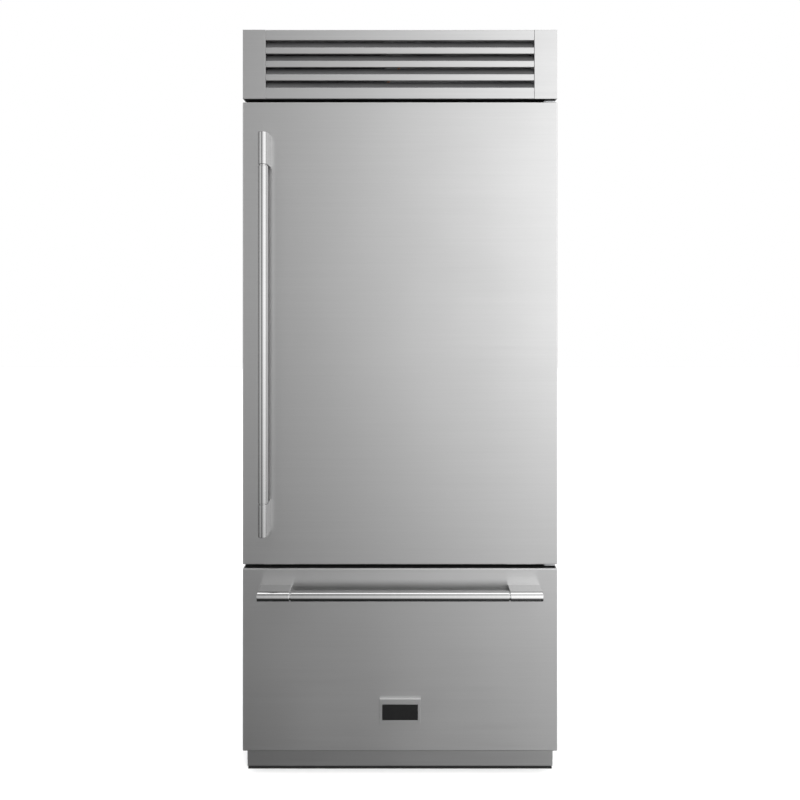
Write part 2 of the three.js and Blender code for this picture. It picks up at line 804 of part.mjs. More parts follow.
function fridgeInside(group) {
  shelfHeights.forEach((height, i) => {
    place(group, `glass_shelf_${i + 1}`, framedShelf(height), shelfGlass);
  });
  place(group, 'crisper_shelf', join(
    framedShelf(crisperShelfHeight),
    block([-crisperWeb / 2, crisperWeb / 2], [shelfFront, shelfBack],
      [fridgeFloor, crisperShelfHeight - shelfThickness + bite]),
  ), shelfGlass);

  const front = shelfFront + crisperFrontSetback;
  for (const [name, side] of [['crisper_left', -1], ['crisper_right', 1]]) {
    const near = side * (crisperCentreGap / 2);
    const far = side * (cavityHalf - crisperSideGap);
    const across = [Math.min(near, far), Math.max(near, far)];
    const top = fridgeFloor + crisperHeight;
    const drawer = bin(across, [front, shelfBack], [fridgeFloor, top], crisperWall);
    const lip = block(across, [front - crisperLip / 2, front + crisperWall], [top - crisperLip, top]);
    place(group, name, join(drawer, lip), clearPlastic);
  }

  const consoleFront = shelfFront + consoleSetback;
  const consoleBack = consoleFront + consoleDepth;
  const ceilingBlock = extrudeAlongX([
    [consoleFront, fridgeCeiling], [consoleFront, fridgeCeiling - consoleDrop / 2],
    [consoleFront + consoleNose, fridgeCeiling - consoleDrop],
    [consoleBack, fridgeCeiling - consoleDrop], [consoleBack, fridgeCeiling],
  ].reverse(), -consoleHalfWidth, consoleHalfWidth);
  place(group, 'ceiling_console', ceilingBlock, whiteLiner);
}

// ---------------------------------------------------------------- inside the freezer

function freezerInside(group) {
  const coverHalf = cavityHalf - slidingGap;
  const coverBottom = freezerFloor + seat;
  const coverTop = freezerCeiling - seat;
  const opening = evaporatorFanRadius + fanTipGap;
  const strapY = coverFront + coverSheet + evaporatorStrapGap;
  const fanZ = freezerCeiling - evaporatorFanDrop;
  const strapBottom = fanZ - opening - strapFootMargin;
  const fanY = strapY - fanFromStrap - fanHubLength / 2;
  const strap = fanStrap(0, fanZ, strapY, strapBottom, coverTop);
  const strapFeet = [strapBottom, coverTop - strapSheet].map((z) =>
    block([-strapWidth / 2, strapWidth / 2], [coverFront + bite, strapY + strapSheet],
      [z, z + strapSheet]));
  const slotBottom = coverBottom + returnSlotRise;
  const returnSlots = [-1, 1].map((side) => block(
    [(side * returnSlotPitch - returnSlotWidth) / 2, (side * returnSlotPitch + returnSlotWidth) / 2],
    [coverFront - past, coverFront + coverSheet + past],
    [slotBottom, slotBottom + returnSlotHeight],
  ));
  const sheetWithHoles = cut(
    join(
      block([-coverHalf, coverHalf], [coverFront, coverFront + coverSheet], [coverBottom, coverTop]),
      block([-coverHalf, coverHalf], [coverFront, coverFront + coverFlange],
        [coverTop - coverSheet, coverTop]),
    ),
    rod('y', coverFront - past, coverFront + coverSheet + past, [0, fanZ], opening, 32),
    ...returnSlots,
  );
  const cover = cut(join(sheetWithHoles, ...strap.solids, ...strapFeet), strap.bore);
  place(group, 'evaporator_cover', cover, whiteLiner);
  place(group, 'evaporator_fan', fan(0, fanY, fanZ, evaporatorFanRadius), blackPlastic);

  const coilFront = coverFront + coverSheet + evaporatorCoverGap;
  const coilY = [coilFront, coilFront + evaporatorDepth];
  const coilBottom = freezerFloor + evaporatorRise;
  const coilZ = [coilBottom, coilBottom + evaporatorHeight];
  const coilHalf = cavityHalf - evaporatorSideGap;
  const ears = [-coilHalf, coilHalf - finSheet].map((x) =>
    block([x, x + finSheet], [coilY[1] - bite, cavityBack - seat], coilZ));
  const tubesAndFins = coil([-coilHalf, coilHalf], coilY, coilZ, evaporatorFins, evaporatorTubes);
  const evaporator = join(...tubesAndFins, ...ears);
  place(group, 'evaporator', evaporator, aluminium);
}

/** Mirrors an [x0, x1] span to the given side. */
function spanOn(side, near, far) {
  return side < 0 ? [-far, -near] : [near, far];
}

function slideRails(group) {
  const z0 = railCentreHeight - railHeight / 2;
  const z1 = railCentreHeight + railHeight / 2;
  const channel = railHeight - 2 * railSheet;
  const memberHeight = channel - 2 * slidingGap;
  const memberFar = cavityHalf - railSheet - slidingGap;
  const memberNear = memberFar - memberThickness;
  const ends = [railStart, railEnd];
  for (const [hand, side] of [['left', -1], ['right', 1]]) {
    const rail = cut(
      block(spanOn(side, cavityHalf - railFlange, cavityHalf), ends, [z0, z1]),
      block(spanOn(side, cavityHalf - railFlange - past, cavityHalf - railSheet),
        [ends[0] - past, ends[1] + past],
        [z0 + railSheet, z1 - railSheet]),
    );
    place(group, `slide_rail_${hand}`, rail, zincSheet);
    const member = cut(
      block(spanOn(side, memberNear, memberFar), ends,
        [railCentreHeight - memberHeight / 2, railCentreHeight + memberHeight / 2]),
      block(spanOn(side, memberNear - past, memberNear + memberGroove), [ends[0] - past, ends[1] + past],
        [railCentreHeight - memberGrooveHeight / 2, railCentreHeight + memberGrooveHeight / 2]),
    );
    place(group, `slide_middle_${hand}`, member, zincSheet);
  }
}

// ---------------------------------------------------------------- handles and badge

/** A handle along z, centred on z = 0 and x = 0, with its brackets on the plane y = 0. */
function handlePieces(length) {
  const bracketZ = length / 2 - bracketLength;
  const outline = new THREE.Shape();
  outline.moveTo(-barRadius, 0);
  outline.lineTo(barRadius, 0);
  outline.lineTo(barRadius, barStandoff);
  outline.absarc(0, barStandoff, barRadius, 0, Math.PI, false);
  outline.lineTo(-barRadius, 0);
  const bracket = () => {
    const bar = new THREE.ExtrudeGeometry(outline, {
      depth: bracketLength,
      bevelEnabled: false,
      curveSegments: barFacets / 2,
    });
    return bar.rotateZ(Math.PI);
  };
  const upper = bracket().translate(0, 0, bracketZ);
  const lower = bracket().translate(0, 0, -bracketZ - bracketLength);
  const turnHalf = bracketZ;
  const shoulder = bracketZ - grooveWidth;
  const bar = turned([
    [0, -turnHalf], [neckRadius, -turnHalf], [neckRadius, -shoulder], [barRadius, -shoulder],
    [barRadius, shoulder], [neckRadius, shoulder], [neckRadius, turnHalf], [0, turnHalf],
  ], barFacets).translate(0, -barStandoff, 0);
  return { upper, lower, bar };
}

function doorHandle(group) {
  const { upper, lower, bar } = handlePieces(doorHandleLength);
  const x = -halfWidth + doorHandleInset;
  const z = (doorBottom + doorTop) / 2;
  place(group, 'door_handle_bar', bar.translate(x, 0, z), polishedSteel);
  place(group, 'door_handle_bracket_top', upper.translate(x, 0, z), brushedSteel);
  place(group, 'door_handle_bracket_bottom', lower.translate(x, 0, z), brushedSteel);
}

function drawerHandle(group) {
  const { upper, lower, bar } = handlePieces(cabinetWidth - 2 * drawerHandleInset);
  const z = drawerTop - drawerHandleDrop;
  const lay = (piece) => piece.rotateY(Math.PI / 2).translate(0, 0, z);
  place(group, 'drawer_handle_bar', lay(bar), polishedSteel);
  place(group, 'drawer_handle_bracket_right', lay(upper), brushedSteel);
  place(group, 'drawer_handle_bracket_left', lay(lower), brushedSteel);
}

function badge(group) {
  const z = toeSpace + badgeCentreAboveDrawer;
  const halfX = badgeWidth / 2;
  const halfZ = badgeHeight / 2;
  const face = new THREE.Shape([
    new THREE.Vector2(-halfX, -halfZ),
    new THREE.Vector2(halfX, -halfZ),
    new THREE.Vector2(halfX, halfZ),
    new THREE.Vector2(-halfX, halfZ),
  ]);
  const slab = new THREE.ExtrudeGeometry(face, {
    depth: badgeDepth,
    bevelEnabled: true,
    bevelThickness: badgeBevel,
    bevelSize: badgeBevel,
    bevelOffset: -badgeBevel,
    bevelSegments: 1,
  });
  slab.rotateX(Math.PI / 2);
  slab.translate(0, badgeBevel, z);
  const raised = common(slab,
    block([-halfX - past, halfX + past], [-badgeDepth, 0], [z - halfZ - past, z + halfZ + past]));
  const plateZ = z - badgePlateDrop;
  const recess = block([-badgePlateWidth / 2, badgePlateWidth / 2],
    [-badgeDepth - past, -badgeDepth + badgePlateRecess],
    [plateZ - badgePlateHeight / 2, plateZ + badgePlateHeight / 2]);
  place(group, 'badge_plate', cut(raised, recess), polishedSteel);
}

// ---------------------------------------------------------------- door

/** The two hinges, fixed to the front frame, each with its pin in the door. */
function hinges(group) {
  const across = [hingeX - hingeArmInboard, hingeX + hingeArmOutboard];
  const armFront = hingePinSetback - hingeWasherRadius;
  const topArm = doorTop + (doorGrilleGap - hingePlate) / 2;
  const topHinge = join(
    block(across, [armFront, bodyFront], [topArm, topArm + hingePlate]),
    block(across, [bodyFront - hingeFlange, bodyFront],
      [topArm + hingePlate - hingeFlangeHeight, topArm + hingePlate]),
    rod('z', doorTop - hingePinLength, topArm + bite, [hingeX, hingePinSetback], hingePinRadius),
  );
  place(group, 'hinge_top', topHinge, zincSheet);
  const lowArm = drawerTop + (drawerDoorGap - hingePlate) / 2;
  const bottomHinge = join(
    block(across, [armFront, bodyFront], [lowArm, lowArm + hingePlate]),
    block(across, [bodyFront - hingeFlange, bodyFront],
      [lowArm + hingePlate / 2 - hingeFlangeHeight / 2, lowArm + hingePlate / 2 + hingeFlangeHeight / 2]),
    rod('z', lowArm + bite, doorBottom + hingePinLength, [hingeX, hingePinSetback], hingePinRadius),
    rod('z', lowArm + bite, doorBottom - seat, [hingeX, hingePinSetback], hingeWasherRadius),
  );
  place(group, 'hinge_bottom', bottomHinge, zincSheet);
}

/** The outline of the gasket on a panel between two heights. */
function gasketOutline(z0, z1) {
  const half = halfWidth - gasketSideMargin;
  return [-half, half, z0 + gasketEndMargin, z1 - gasketEndMargin];
}

/** The door liner: a sheet with a hollow raised dyke around it, bin pegs and the dairy compartment. */
function doorLiner() {
  const back = block([-innerHalf, innerHalf], [panDepth, panelBack], [doorBottom + sheet, doorTop - sheet]);
  const outer = [-dykeHalf, dykeHalf, dykeBottom, dykeTop];
  const inner = inset(outer, dykeWidth);
  const dyke = ring(outer, inner, [panelBack - bite, dykeBack]);
  const pocket = ring(inset(outer, dykeWall), inset(outer, dykeWidth - dykeWall),
    [panDepth - past, dykeBack - dykeWall]);
  const pegs = [];
  for (const bottom of binBottoms) {
    for (const side of [-1, 1]) {
      pegs.push(block(spanOn(side, dykeInnerHalf - binPegWidth, dykeInnerHalf + bite),
        [panelBack - bite, panelBack + binPegLength],
        [bottom - binPegHeight, bottom]));
    }
  }
  const x = dairyHalfWidth;
  const dairyBox = cut(
    block([-x, x], [panelBack - bite, dairyFront], [dairyBottom, dairyWallTop]),
    block([-x + dairyWall, x - dairyWall], [panelBack - bite - past, dairyFront - dairyWall],
      [dairyBottom + dairyWall, dairyWallTop + past]),
  );
  const ears = [-1, 1].map((side) => block(
    spanOn(side, x + seat, x + seat + dairyEar),
    [panelBack - bite, dairyHingeY + dairyBarrelRadius + dairyEarRim],
    [dairyHingeHeight - dairyEarDrop, dairyHingeHeight + dairyBarrelRadius],
  ));
  const earHole = rod('x', -x - seat - dairyEar - past, x + seat + dairyEar + past,
    [dairyHingeY, dairyHingeHeight],
    holeRadius(dairyPinRadius + runningGap, 16), 16);
  return cut(join(back, dyke, ...pegs, dairyBox, ...ears), pocket, earHole);
}

/** The flip-up lid of the dairy compartment, hung on two pins. */
function dairyLid() {
  const x = dairyHalfWidth - seat;
  const top = dairyHingeHeight + dairyBarrelRadius;
  const lidFront = dairyFront + dairyLidSheet + seat;
  const cover = block([-x, x], [dairyHingeY, lidFront], [top - dairyLidSheet, top]);
  const front = block([-x, x], [lidFront - dairyLidSheet, lidFront], [dairyWallTop + dairyLidGap, top]);
  const barrel = rod('x', -x, x, [dairyHingeY, dairyHingeHeight], dairyBarrelRadius, 16);
  const pin = rod('x', -x - dairyEar - seat, x + dairyEar + seat, [dairyHingeY, dairyHingeHeight],
    dairyPinRadius, 16);
  return join(cover, front, barrel, pin);
}

function door(group) {
  const outline = [-halfWidth, halfWidth, doorBottom, doorTop];
  const bushing = (z0, z1) => rod('z', z0, z1, [hingeX, hingePinSetback],
    holeRadius(hingePinRadius + runningGap, 24));
  const shell = cut(pan(outline, panDepth),
    bushing(doorBottom - past, doorBottom + sheet + past), bushing(doorTop - sheet - past, doorTop + past));
  place(group, 'door_shell', shell, brushedSteel);
  place(group, 'door_liner', doorLiner(), whiteLiner);
  const gasket = gasketOutline(doorBottom, doorTop);
  place(group, 'door_gasket', ring(gasket, inset(gasket, gasketWidth), [panelBack, bodyFront - seat]),
    greyRubber);
  doorHandle(group);
  const half = dykeInnerHalf - seat;
  binBottoms.forEach((bottom, i) => {
    const shape = bin([-half, half], [binBack, binFront], [bottom, bottom + binHeight], binWall);
    place(group, `door_bin_${i + 1}`, shape, clearPlastic);
  });
  place(group, 'dairy_lid', dairyLid(), clearPlastic);
}

// ---------------------------------------------------------------- freezer drawer

/** The drawer's frame: a cross plate and two side rails, each with a tongue in the middle member. */
function drawerFrame() {
  const memberNear = cavityHalf - railSheet - slidingGap - memberThickness;
  const railOuter = memberNear - slidingGap;
  const railInner = railOuter - drawerRailThickness;
  const z0 = railCentreHeight - drawerRailHeight / 2;
  const z1 = railCentreHeight + drawerRailHeight / 2;
  const tongue = memberGrooveHeight / 2 - slidingGap;
  const solids = [block([-railOuter, railOuter], [panelBack, panelBack + crossPlate], [z0, z1])];
  for (const side of [-1, 1]) {
    solids.push(block(spanOn(side, railInner, railOuter), [panelBack, drawerRailBack], [z0, z1]));
    solids.push(block(spanOn(side, railOuter - bite, memberNear + memberGroove - slidingGap),
      [railStart, drawerRailBack], [railCentreHeight - tongue, railCentreHeight + tongue]));
    const ledgeTop = railCentreHeight - basketRimThickness;
    solids.push(block(spanOn(side, railInner - drawerLedgeWidth, railInner + bite),
      [panelBack + bite, drawerRailBack],
      [ledgeTop - drawerLedgeThickness, ledgeTop]));
  }
  return { shape: join(...solids), railInner };
}

function drawer(group) {
  const outline = [-halfWidth, halfWidth, toeSpace, drawerTop];
  place(group, 'drawer_shell', pan(outline, panDepth), brushedSteel);
  const padHalf = cavityHalf - dykeSideClearance - drawerPadInset;
  const padTop = railCentreHeight - drawerRailHeight / 2 - drawerPadInset;
  const padOutline = [-padHalf, padHalf, freezerFloor + dykeEndClearance, padTop];
  const pad = block([padOutline[0], padOutline[1]], [panelBack - bite, panelBack + drawerPadDepth],
    [padOutline[2], padOutline[3]]);
  const inside = inset(padOutline, panelLiner);
  const padPocket = block([inside[0], inside[1]],
    [panDepth - past, panelBack + drawerPadDepth - panelLiner], [inside[2], inside[3]]);
  const liner = cut(
    join(block([-innerHalf, innerHalf], [panDepth, panelBack], [toeSpace + sheet, drawerTop - sheet]), pad),
    padPocket,
  );
  place(group, 'drawer_liner', liner, whiteLiner);
  const gasket = gasketOutline(toeSpace, drawerTop);
  place(group, 'drawer_gasket', ring(gasket, inset(gasket, gasketWidth), [panelBack, bodyFront - seat]),
    greyRubber);
  drawerHandle(group);
  badge(group);

  const { shape, railInner } = drawerFrame();
  place(group, 'drawer_frame', shape, zincSheet);
  const rimTop = railCentreHeight;
  const basketBottom = freezerFloor + basketFloorGap;
  const rimOuter = railInner - basketSideGap;
  const bodyHalf = railInner - drawerLedgeWidth - basketSideGap;
  const basketBody = block([-bodyHalf, bodyHalf], [basketFront, basketBack], [basketBottom, rimTop]);
  const flange = block([-rimOuter, rimOuter], [basketFront, basketBack],
    [rimTop - basketRimThickness + seat, rimTop]);
  const hollow = block([-bodyHalf + basketWall, bodyHalf - basketWall],
    [basketFront + basketWall, basketBack - basketWall],
    [basketBottom + basketWall, rimTop + past]);
  place(group, 'freezer_basket', cut(join(basketBody, flange), hollow), clearPlastic);

  const trayHalf = railInner - traySideGap;
  const trayBottom = rimTop + seat;
  place(group, 'freezer_tray',
    bin([-trayHalf, trayHalf], [basketFront, basketFront + trayDepth],
      [trayBottom, trayBottom + trayHeight], trayWall),
    clearPlastic);
}

// ---------------------------------------------------------------- assembly

const refrigerator = new THREE.Group();
refrigerator.position.y = handleProjection - overallDepth / 2;
cabinetShell(refrigerator);
base(refrigerator);
grille(refrigerator);
machineCompartment(refrigerator);
fridgeInside(refrigerator);
freezerInside(refrigerator);
slideRails(refrigerator);
hinges(refrigerator);
door(refrigerator);
drawer(refrigerator);

export default refrigerator;
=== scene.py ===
"""Built-in refrigerator with a hinged door, a freezer drawer and a louvred grille.

Plans are in millimetres: x to the right, y from the door's outer face into the cabinet, z up from the floor.
A part is (points, quads, ends): an array of points, an array of quads and a list of flat many-sided faces.
"""
import json
import math

import bmesh
import bpy
import numpy as np
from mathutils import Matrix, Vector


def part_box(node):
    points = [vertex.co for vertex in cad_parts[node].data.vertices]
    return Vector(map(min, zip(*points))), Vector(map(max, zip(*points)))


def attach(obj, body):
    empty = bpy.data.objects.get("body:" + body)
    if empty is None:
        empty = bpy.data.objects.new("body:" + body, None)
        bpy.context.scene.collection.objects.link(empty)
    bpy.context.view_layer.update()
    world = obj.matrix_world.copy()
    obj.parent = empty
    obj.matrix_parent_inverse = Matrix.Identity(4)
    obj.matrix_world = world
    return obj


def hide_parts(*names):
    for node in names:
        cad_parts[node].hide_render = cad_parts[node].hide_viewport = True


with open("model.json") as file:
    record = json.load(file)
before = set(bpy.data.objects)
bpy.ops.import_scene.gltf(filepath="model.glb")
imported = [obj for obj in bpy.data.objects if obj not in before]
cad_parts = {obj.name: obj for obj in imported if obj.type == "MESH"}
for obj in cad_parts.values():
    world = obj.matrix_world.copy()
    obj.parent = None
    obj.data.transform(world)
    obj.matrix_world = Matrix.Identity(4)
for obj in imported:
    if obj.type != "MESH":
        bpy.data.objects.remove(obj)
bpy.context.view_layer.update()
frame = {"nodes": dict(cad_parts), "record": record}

MM = 0.001
DOOR_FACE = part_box("door_shell")[0][1]
SMOOTH = math.radians(32)  # faces that meet at less than this shade as one surface
QUARTER = np.linspace(0, np.pi / 2, 6)
HAIR = 0.1  # how far a dressed face stays inside its solid's box
SHARP = 0.02  # radius of a corner that looks sharp


def plan(node):
    """Lowest and highest corner of a node in the plans' millimetres."""
    low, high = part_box(node)
    shift = np.array([0, DOOR_FACE, 0])
    return (np.array(low) - shift) / MM, (np.array(high) - shift) / MM


CAVITY_HALF = plan("glass_shelf_1")[1][0]
SHEET = 1.5  # folded steel of the grille and the toe panel
FOLD_LINE = SHEET / 2 + 0.05  # from a box's face to the middle line of a sheet folded inside it


# ---------------------------------------------------------------- surfaces

def rectangle(u, v):
    """Half sizes and centre of the rectangle over u and v, each given as low, high."""
    return ((u[1] - u[0]) / 2, (v[1] - v[0]) / 2), ((u[0] + u[1]) / 2, (v[0] + v[1]) / 2)


def on_side(side, near, far):
    """The span from near to far on one side of zero, lowest first."""
    return tuple(sorted((side * near, side * far)))


def rolled(radius):
    """A rolled edge as a quarter circle: how far each of its points is set in, and how far it has risen."""
    return radius * (1 - np.sin(QUARTER)), radius * (1 - np.cos(QUARTER))


def smooth_step(t):
    """A cubic ramp from 0 at t = 0 to 1 at t = 1, level at both ends."""
    t = np.clip(t, 0, 1)
    return t * t * (3 - 2 * t)


def across(axis, u, v, along):
    """Points from a place along an axis and coordinates u, v on the other two, in x, y, z order."""
    u, v, along = np.broadcast_arrays(u, v, along)
    order = {"x": (along, u, v), "y": (u, along, v), "z": (u, v, along)}[axis]
    return np.stack(order, -1).astype(float)


def skin(grid, wrap_rows=False, wrap_columns=True, caps=True):
    """A grid of points (rows, columns, 3) as a part: quads between neighbours, a flat face on each end
    row."""
    rows, columns = grid.shape[:2]
    i = np.arange(rows if wrap_rows else rows - 1)[:, None]
    j = np.arange(columns if wrap_columns else columns - 1)[None, :]
    below, right = (i + 1) % rows, (j + 1) % columns
    quads = np.stack([i * columns + j, i * columns + right, below * columns + right, below * columns + j], -1)
    ends = []
    if caps and not wrap_rows:
        ends = [np.arange(columns)[::-1], np.arange(columns) + (rows - 1) * columns]
    return grid.reshape(-1, 3), quads.reshape(-1, 4), ends


def moved(part, *moves):
    """One copy of a part at each move (x, y, z)."""
    points, quads, ends = part
    moves = np.asarray(moves, float).reshape(-1, 1, 3)
    steps = np.arange(len(moves)) * len(points)
    return ((points[None] + moves).reshape(-1, 3),
            (quads[None] + steps[:, None, None]).reshape(-1, 4),
            [end + step for step in steps for end in ends])


def stack(axis, rows, corner_points=6, wrap=False):
    """Rounded rectangles stacked along an axis: each row is (half u, half v, corner radius, height, centre
    u, centre v), and each corner is a quarter circle about a point inset by the radius."""
    rows = np.array(rows, float)
    half_u, half_v, radius, along, mid_u, mid_v = (rows[:, k, None] for k in range(6))
    radius = np.minimum(np.maximum(radius, SHARP), np.minimum(half_u, half_v) * 0.999)
    quarter = np.linspace(0, np.pi / 2, corner_points)
    angle = np.concatenate([quarter + k * np.pi / 2 for k in range(4)])[None]
    sign_u = np.repeat([1, -1, -1, 1], corner_points)[None]
    sign_v = np.repeat([1, 1, -1, -1], corner_points)[None]
    u = mid_u + sign_u * (half_u - radius) + radius * np.cos(angle)
    v = mid_v + sign_v * (half_v - radius) + radius * np.sin(angle)
    return skin(across(axis, u, v, along), wrap_rows=wrap)


def edge_rows(half, corner, low, high, edge, middle=(0, 0)):
    """Rows of a slab whose two edges are rolled over by quarter circles of radius edge."""
    sunk, risen = rolled(edge)
    inset = np.concatenate([sunk, risen])
    height = np.concatenate([low + risen, high - sunk])
    return [(half[0] - i, half[1] - i, corner - i, h, *middle) for i, h in zip(inset, height)]


def slab(axis, u, v, span, corner=1.0, edge=0.5, corner_points=5):
    """A flat piece over u and v and a span along the axis, with rounded corners and rolled edges."""
    half, middle = rectangle(u, v)
    return stack(axis, edge_rows(half, corner, span[0], span[1], edge, middle), corner_points)


def hoop(axis, u, v, profile, corner=1.0, corner_points=5):
    """A closed profile of (inset, place along the axis) points carried round the rectangle u, v."""
    half, middle = rectangle(u, v)
    rows = [(half[0] - i, half[1] - i, max(corner - i, 0.4), h, *middle) for i, h in profile]
    return stack(axis, rows, corner_points, wrap=True)


def lathe(axis, centre, profile, sides=32):
    """A profile of (radius, place along the axis) points turned about an axis through the centre (u, v)."""
    radius, height = np.array(profile, float).T
    angle = np.arange(sides) * 2 * np.pi / sides
    u = centre[0] + radius[:, None] * np.cos(angle)
    v = centre[1] + radius[:, None] * np.sin(angle)
    return skin(across(axis, u, v, height[:, None]))


def tube(path, radius, sides):
    """A circle carried along a path: at each point it lies square to the path's direction."""
    path = np.asarray(path, float)
    way = np.gradient(path, axis=0)
    way /= np.linalg.norm(way, axis=1)[:, None]
    no_axis = np.array([0.31, 0.52, 0.79])
    side = np.cross(way, no_axis)
    side /= np.linalg.norm(side, axis=1)[:, None]
    up = np.cross(side, way)
    angle = np.arange(sides) * 2 * np.pi / sides
    ring = np.cos(angle)[None, :, None] * side[:, None] + np.sin(angle)[None, :, None] * up[:, None]
    return skin(path[:, None] + radius * ring)


def round_tube(axis, centre, place, radius, thickness, steps):
    """A tube bent to a closed circle about an axis, at a place along it."""
    turn = np.linspace(0, 2 * np.pi, steps)
    path = across(axis, centre[0] + radius * np.cos(turn), centre[1] + radius * np.sin(turn), place)
    return tube(path, thickness, 8)


def bent(points, radius, steps=5):
    """A polyline with rounded inner corners: each is a quadratic curve between its two cut points."""
    points = [np.array(p, float) for p in points]
    line = [points[0]]
    for before, corner, after in zip(points, points[1:], points[2:]):
        start = corner + (before - corner) / np.linalg.norm(before - corner) * radius
        stop = corner + (after - corner) / np.linalg.norm(after - corner) * radius
        t = np.linspace(0, 1, steps)[:, None]
        line.extend((1 - t) ** 2 * start + 2 * t * (1 - t) * corner + t ** 2 * stop)
    line.append(points[-1])
    return np.array(line)


def folded(axis, line, thickness, low, high):
    """A sheet folded along a line in the plane of the other two axes: half its thickness lies on each
    side."""
    way = np.gradient(line, axis=0)
    way /= np.linalg.norm(way, axis=1)[:, None]
    normal = np.stack([-way[:, 1], way[:, 0]], 1) * thickness / 2
    outline = np.concatenate([line + normal, (line - normal)[::-1]])
    return skin(across(axis, outline[None, :, 0], outline[None, :, 1], np.array([[low], [high]])))


def ripple_sheet(axis, u, v, face, back, depth, height_of, counts):
    """A closed sheet whose face is a height field, face + depth * height_of(u, v). Its back follows it."""
    us, vs = np.meshgrid(np.linspace(*u, counts[0]), np.linspace(*v, counts[1]), indexing="ij")
    wave = depth * height_of(us, vs)
    return closed_sheet(across(axis, us, vs, face + wave), across(axis, us, vs, back + wave))


def box(axis, u, v, span):
    """A plain small bar or plate, for shapes that repeat many times."""
    half, middle = rectangle(u, v)
    return stack(axis, [(*half, SHARP, place, *middle) for place in span], 1)


def grid_lines(low, high, centres, reach):
    """Line positions from low to high, in thousandths: even over the whole, and close round each centre."""
    low, high = np.round([low, high], 3)
    lines = [np.linspace(low, high, 9)] + [np.linspace(c - reach, c + reach, 9) for c in centres]
    lines = np.unique(np.round(np.concatenate(lines), 3))
    return lines[(lines >= low) & (lines <= high)]


def screwed_sheet(axis, u, v, face, thickness, spots, out, field=None):
    """A sheet with a round dimple and a flat screw at each spot (u, v). The dimple's depth falls off by a
    smooth step, and a pressed field (margin, depth), where one is given, is sunk by another inside its
    edge."""
    radius, slope, sink, field_slope = 7.5, 3.0, 1.3, 6
    spots = np.array(spots, float)
    margin, depth = field or (0, 0)
    edges_u = [u[0] + margin, u[1] - margin] if field else []
    edges_v = [v[0] + margin, v[1] - margin] if field else []
    us = grid_lines(*u, [*np.unique(spots[:, 0]), *edges_u], radius)
    vs = grid_lines(*v, [*np.unique(spots[:, 1]), *edges_v], radius)
    a, b = np.meshgrid(us, vs, indexing="ij")
    away = np.sqrt((a[..., None] - spots[:, 0]) ** 2 + (b[..., None] - spots[:, 1]) ** 2).min(-1)
    sunk = sink * smooth_step((radius - away) / slope)
    if field:
        inside = np.minimum(np.minimum(a - u[0], u[1] - a), np.minimum(b - v[0], v[1] - b)) - margin
        sunk = sunk + depth * smooth_step(inside / field_slope + 0.5)
    outer, inner = face - out * sunk, face - out * (thickness + sunk)
    screw = [(0, 0), (3.9, 0), (3.9, 0.7), (3.4, 1.1), (1.5, 1.1), (1.3, 0.3), (0, 0.3)]
    profile = [(r, face + out * (rise - sink)) for r, rise in screw]
    return [closed_sheet(across(axis, a, b, outer), across(axis, a, b, inner)),
            *(lathe(axis, spot, profile, 16) for spot in spots)]


def closed_sheet(front, rear):
    """Two grids of points with a rim of quads between their borders."""
    rows, columns = front.shape[:2]
    _, quads, _ = skin(front, wrap_columns=False, caps=False)
    border = np.concatenate([np.arange(columns), np.arange(1, rows) * columns + columns - 1,
                             (rows - 1) * columns + np.arange(columns - 1)[::-1],
                             np.arange(1, rows - 1)[::-1] * columns])
    after, step = np.roll(border, -1), rows * columns
    rim = np.stack([border, border + step, after + step, after], 1)
    points = np.concatenate([front.reshape(-1, 3), rear.reshape(-1, 3)])
    return points, np.concatenate([quads, quads[:, ::-1] + step, rim]), []


def slotted(axis, u, v, slot_u, slot_v, span, radius):
    """A plate u, v with one rounded slot: loops go out from the slot to the plate's own outline and back."""
    plate, slot = (u, v, 0.05), (slot_u, slot_v, radius)
    rows = []
    for (a, b, corner), place in ((plate, span[0]), (slot, span[0]), (slot, span[1]), (plate, span[1])):
        half, middle = rectangle(a, b)
        rows.append((*half, corner, place, *middle))
    return stack(axis, rows, 5, wrap=True)


def holed(axis, u, v, centre, radius, span):
    """A plate u, v with one round hole: rays from the hole's centre meet the circle and the plate's
    outline, and the ray nearest to each corner is turned to meet it."""
    sides = 96
    angle = (np.arange(sides) + 0.5) * 2 * np.pi / sides
    c, s = np.cos(angle), np.sin(angle)
    reach_u = np.where(c > 0, u[1] - centre[0], centre[0] - u[0]) / np.abs(c)
    reach_v = np.where(s > 0, v[1] - centre[1], centre[1] - v[0]) / np.abs(s)
    out = np.minimum(reach_u, reach_v)
    for a, b in [(a - centre[0], b - centre[1]) for a in u for b in v]:
        nearest = np.argmin(np.abs(np.angle(np.exp(1j * (angle - math.atan2(b, a))))))
        c[nearest], s[nearest], out[nearest] = a, b, 1.0
    plate = np.stack([centre[0] + out * c, centre[1] + out * s], 1)
    length = np.hypot(c, s)
    hole = np.stack([centre[0] + radius * c / length, centre[1] + radius * s / length], 1)
    loops = np.stack([plate, hole, hole, plate])
    height = np.array([span[0], span[0], span[1], span[1]])[:, None]
    return skin(across(axis, loops[..., 0], loops[..., 1], height), wrap_rows=True)


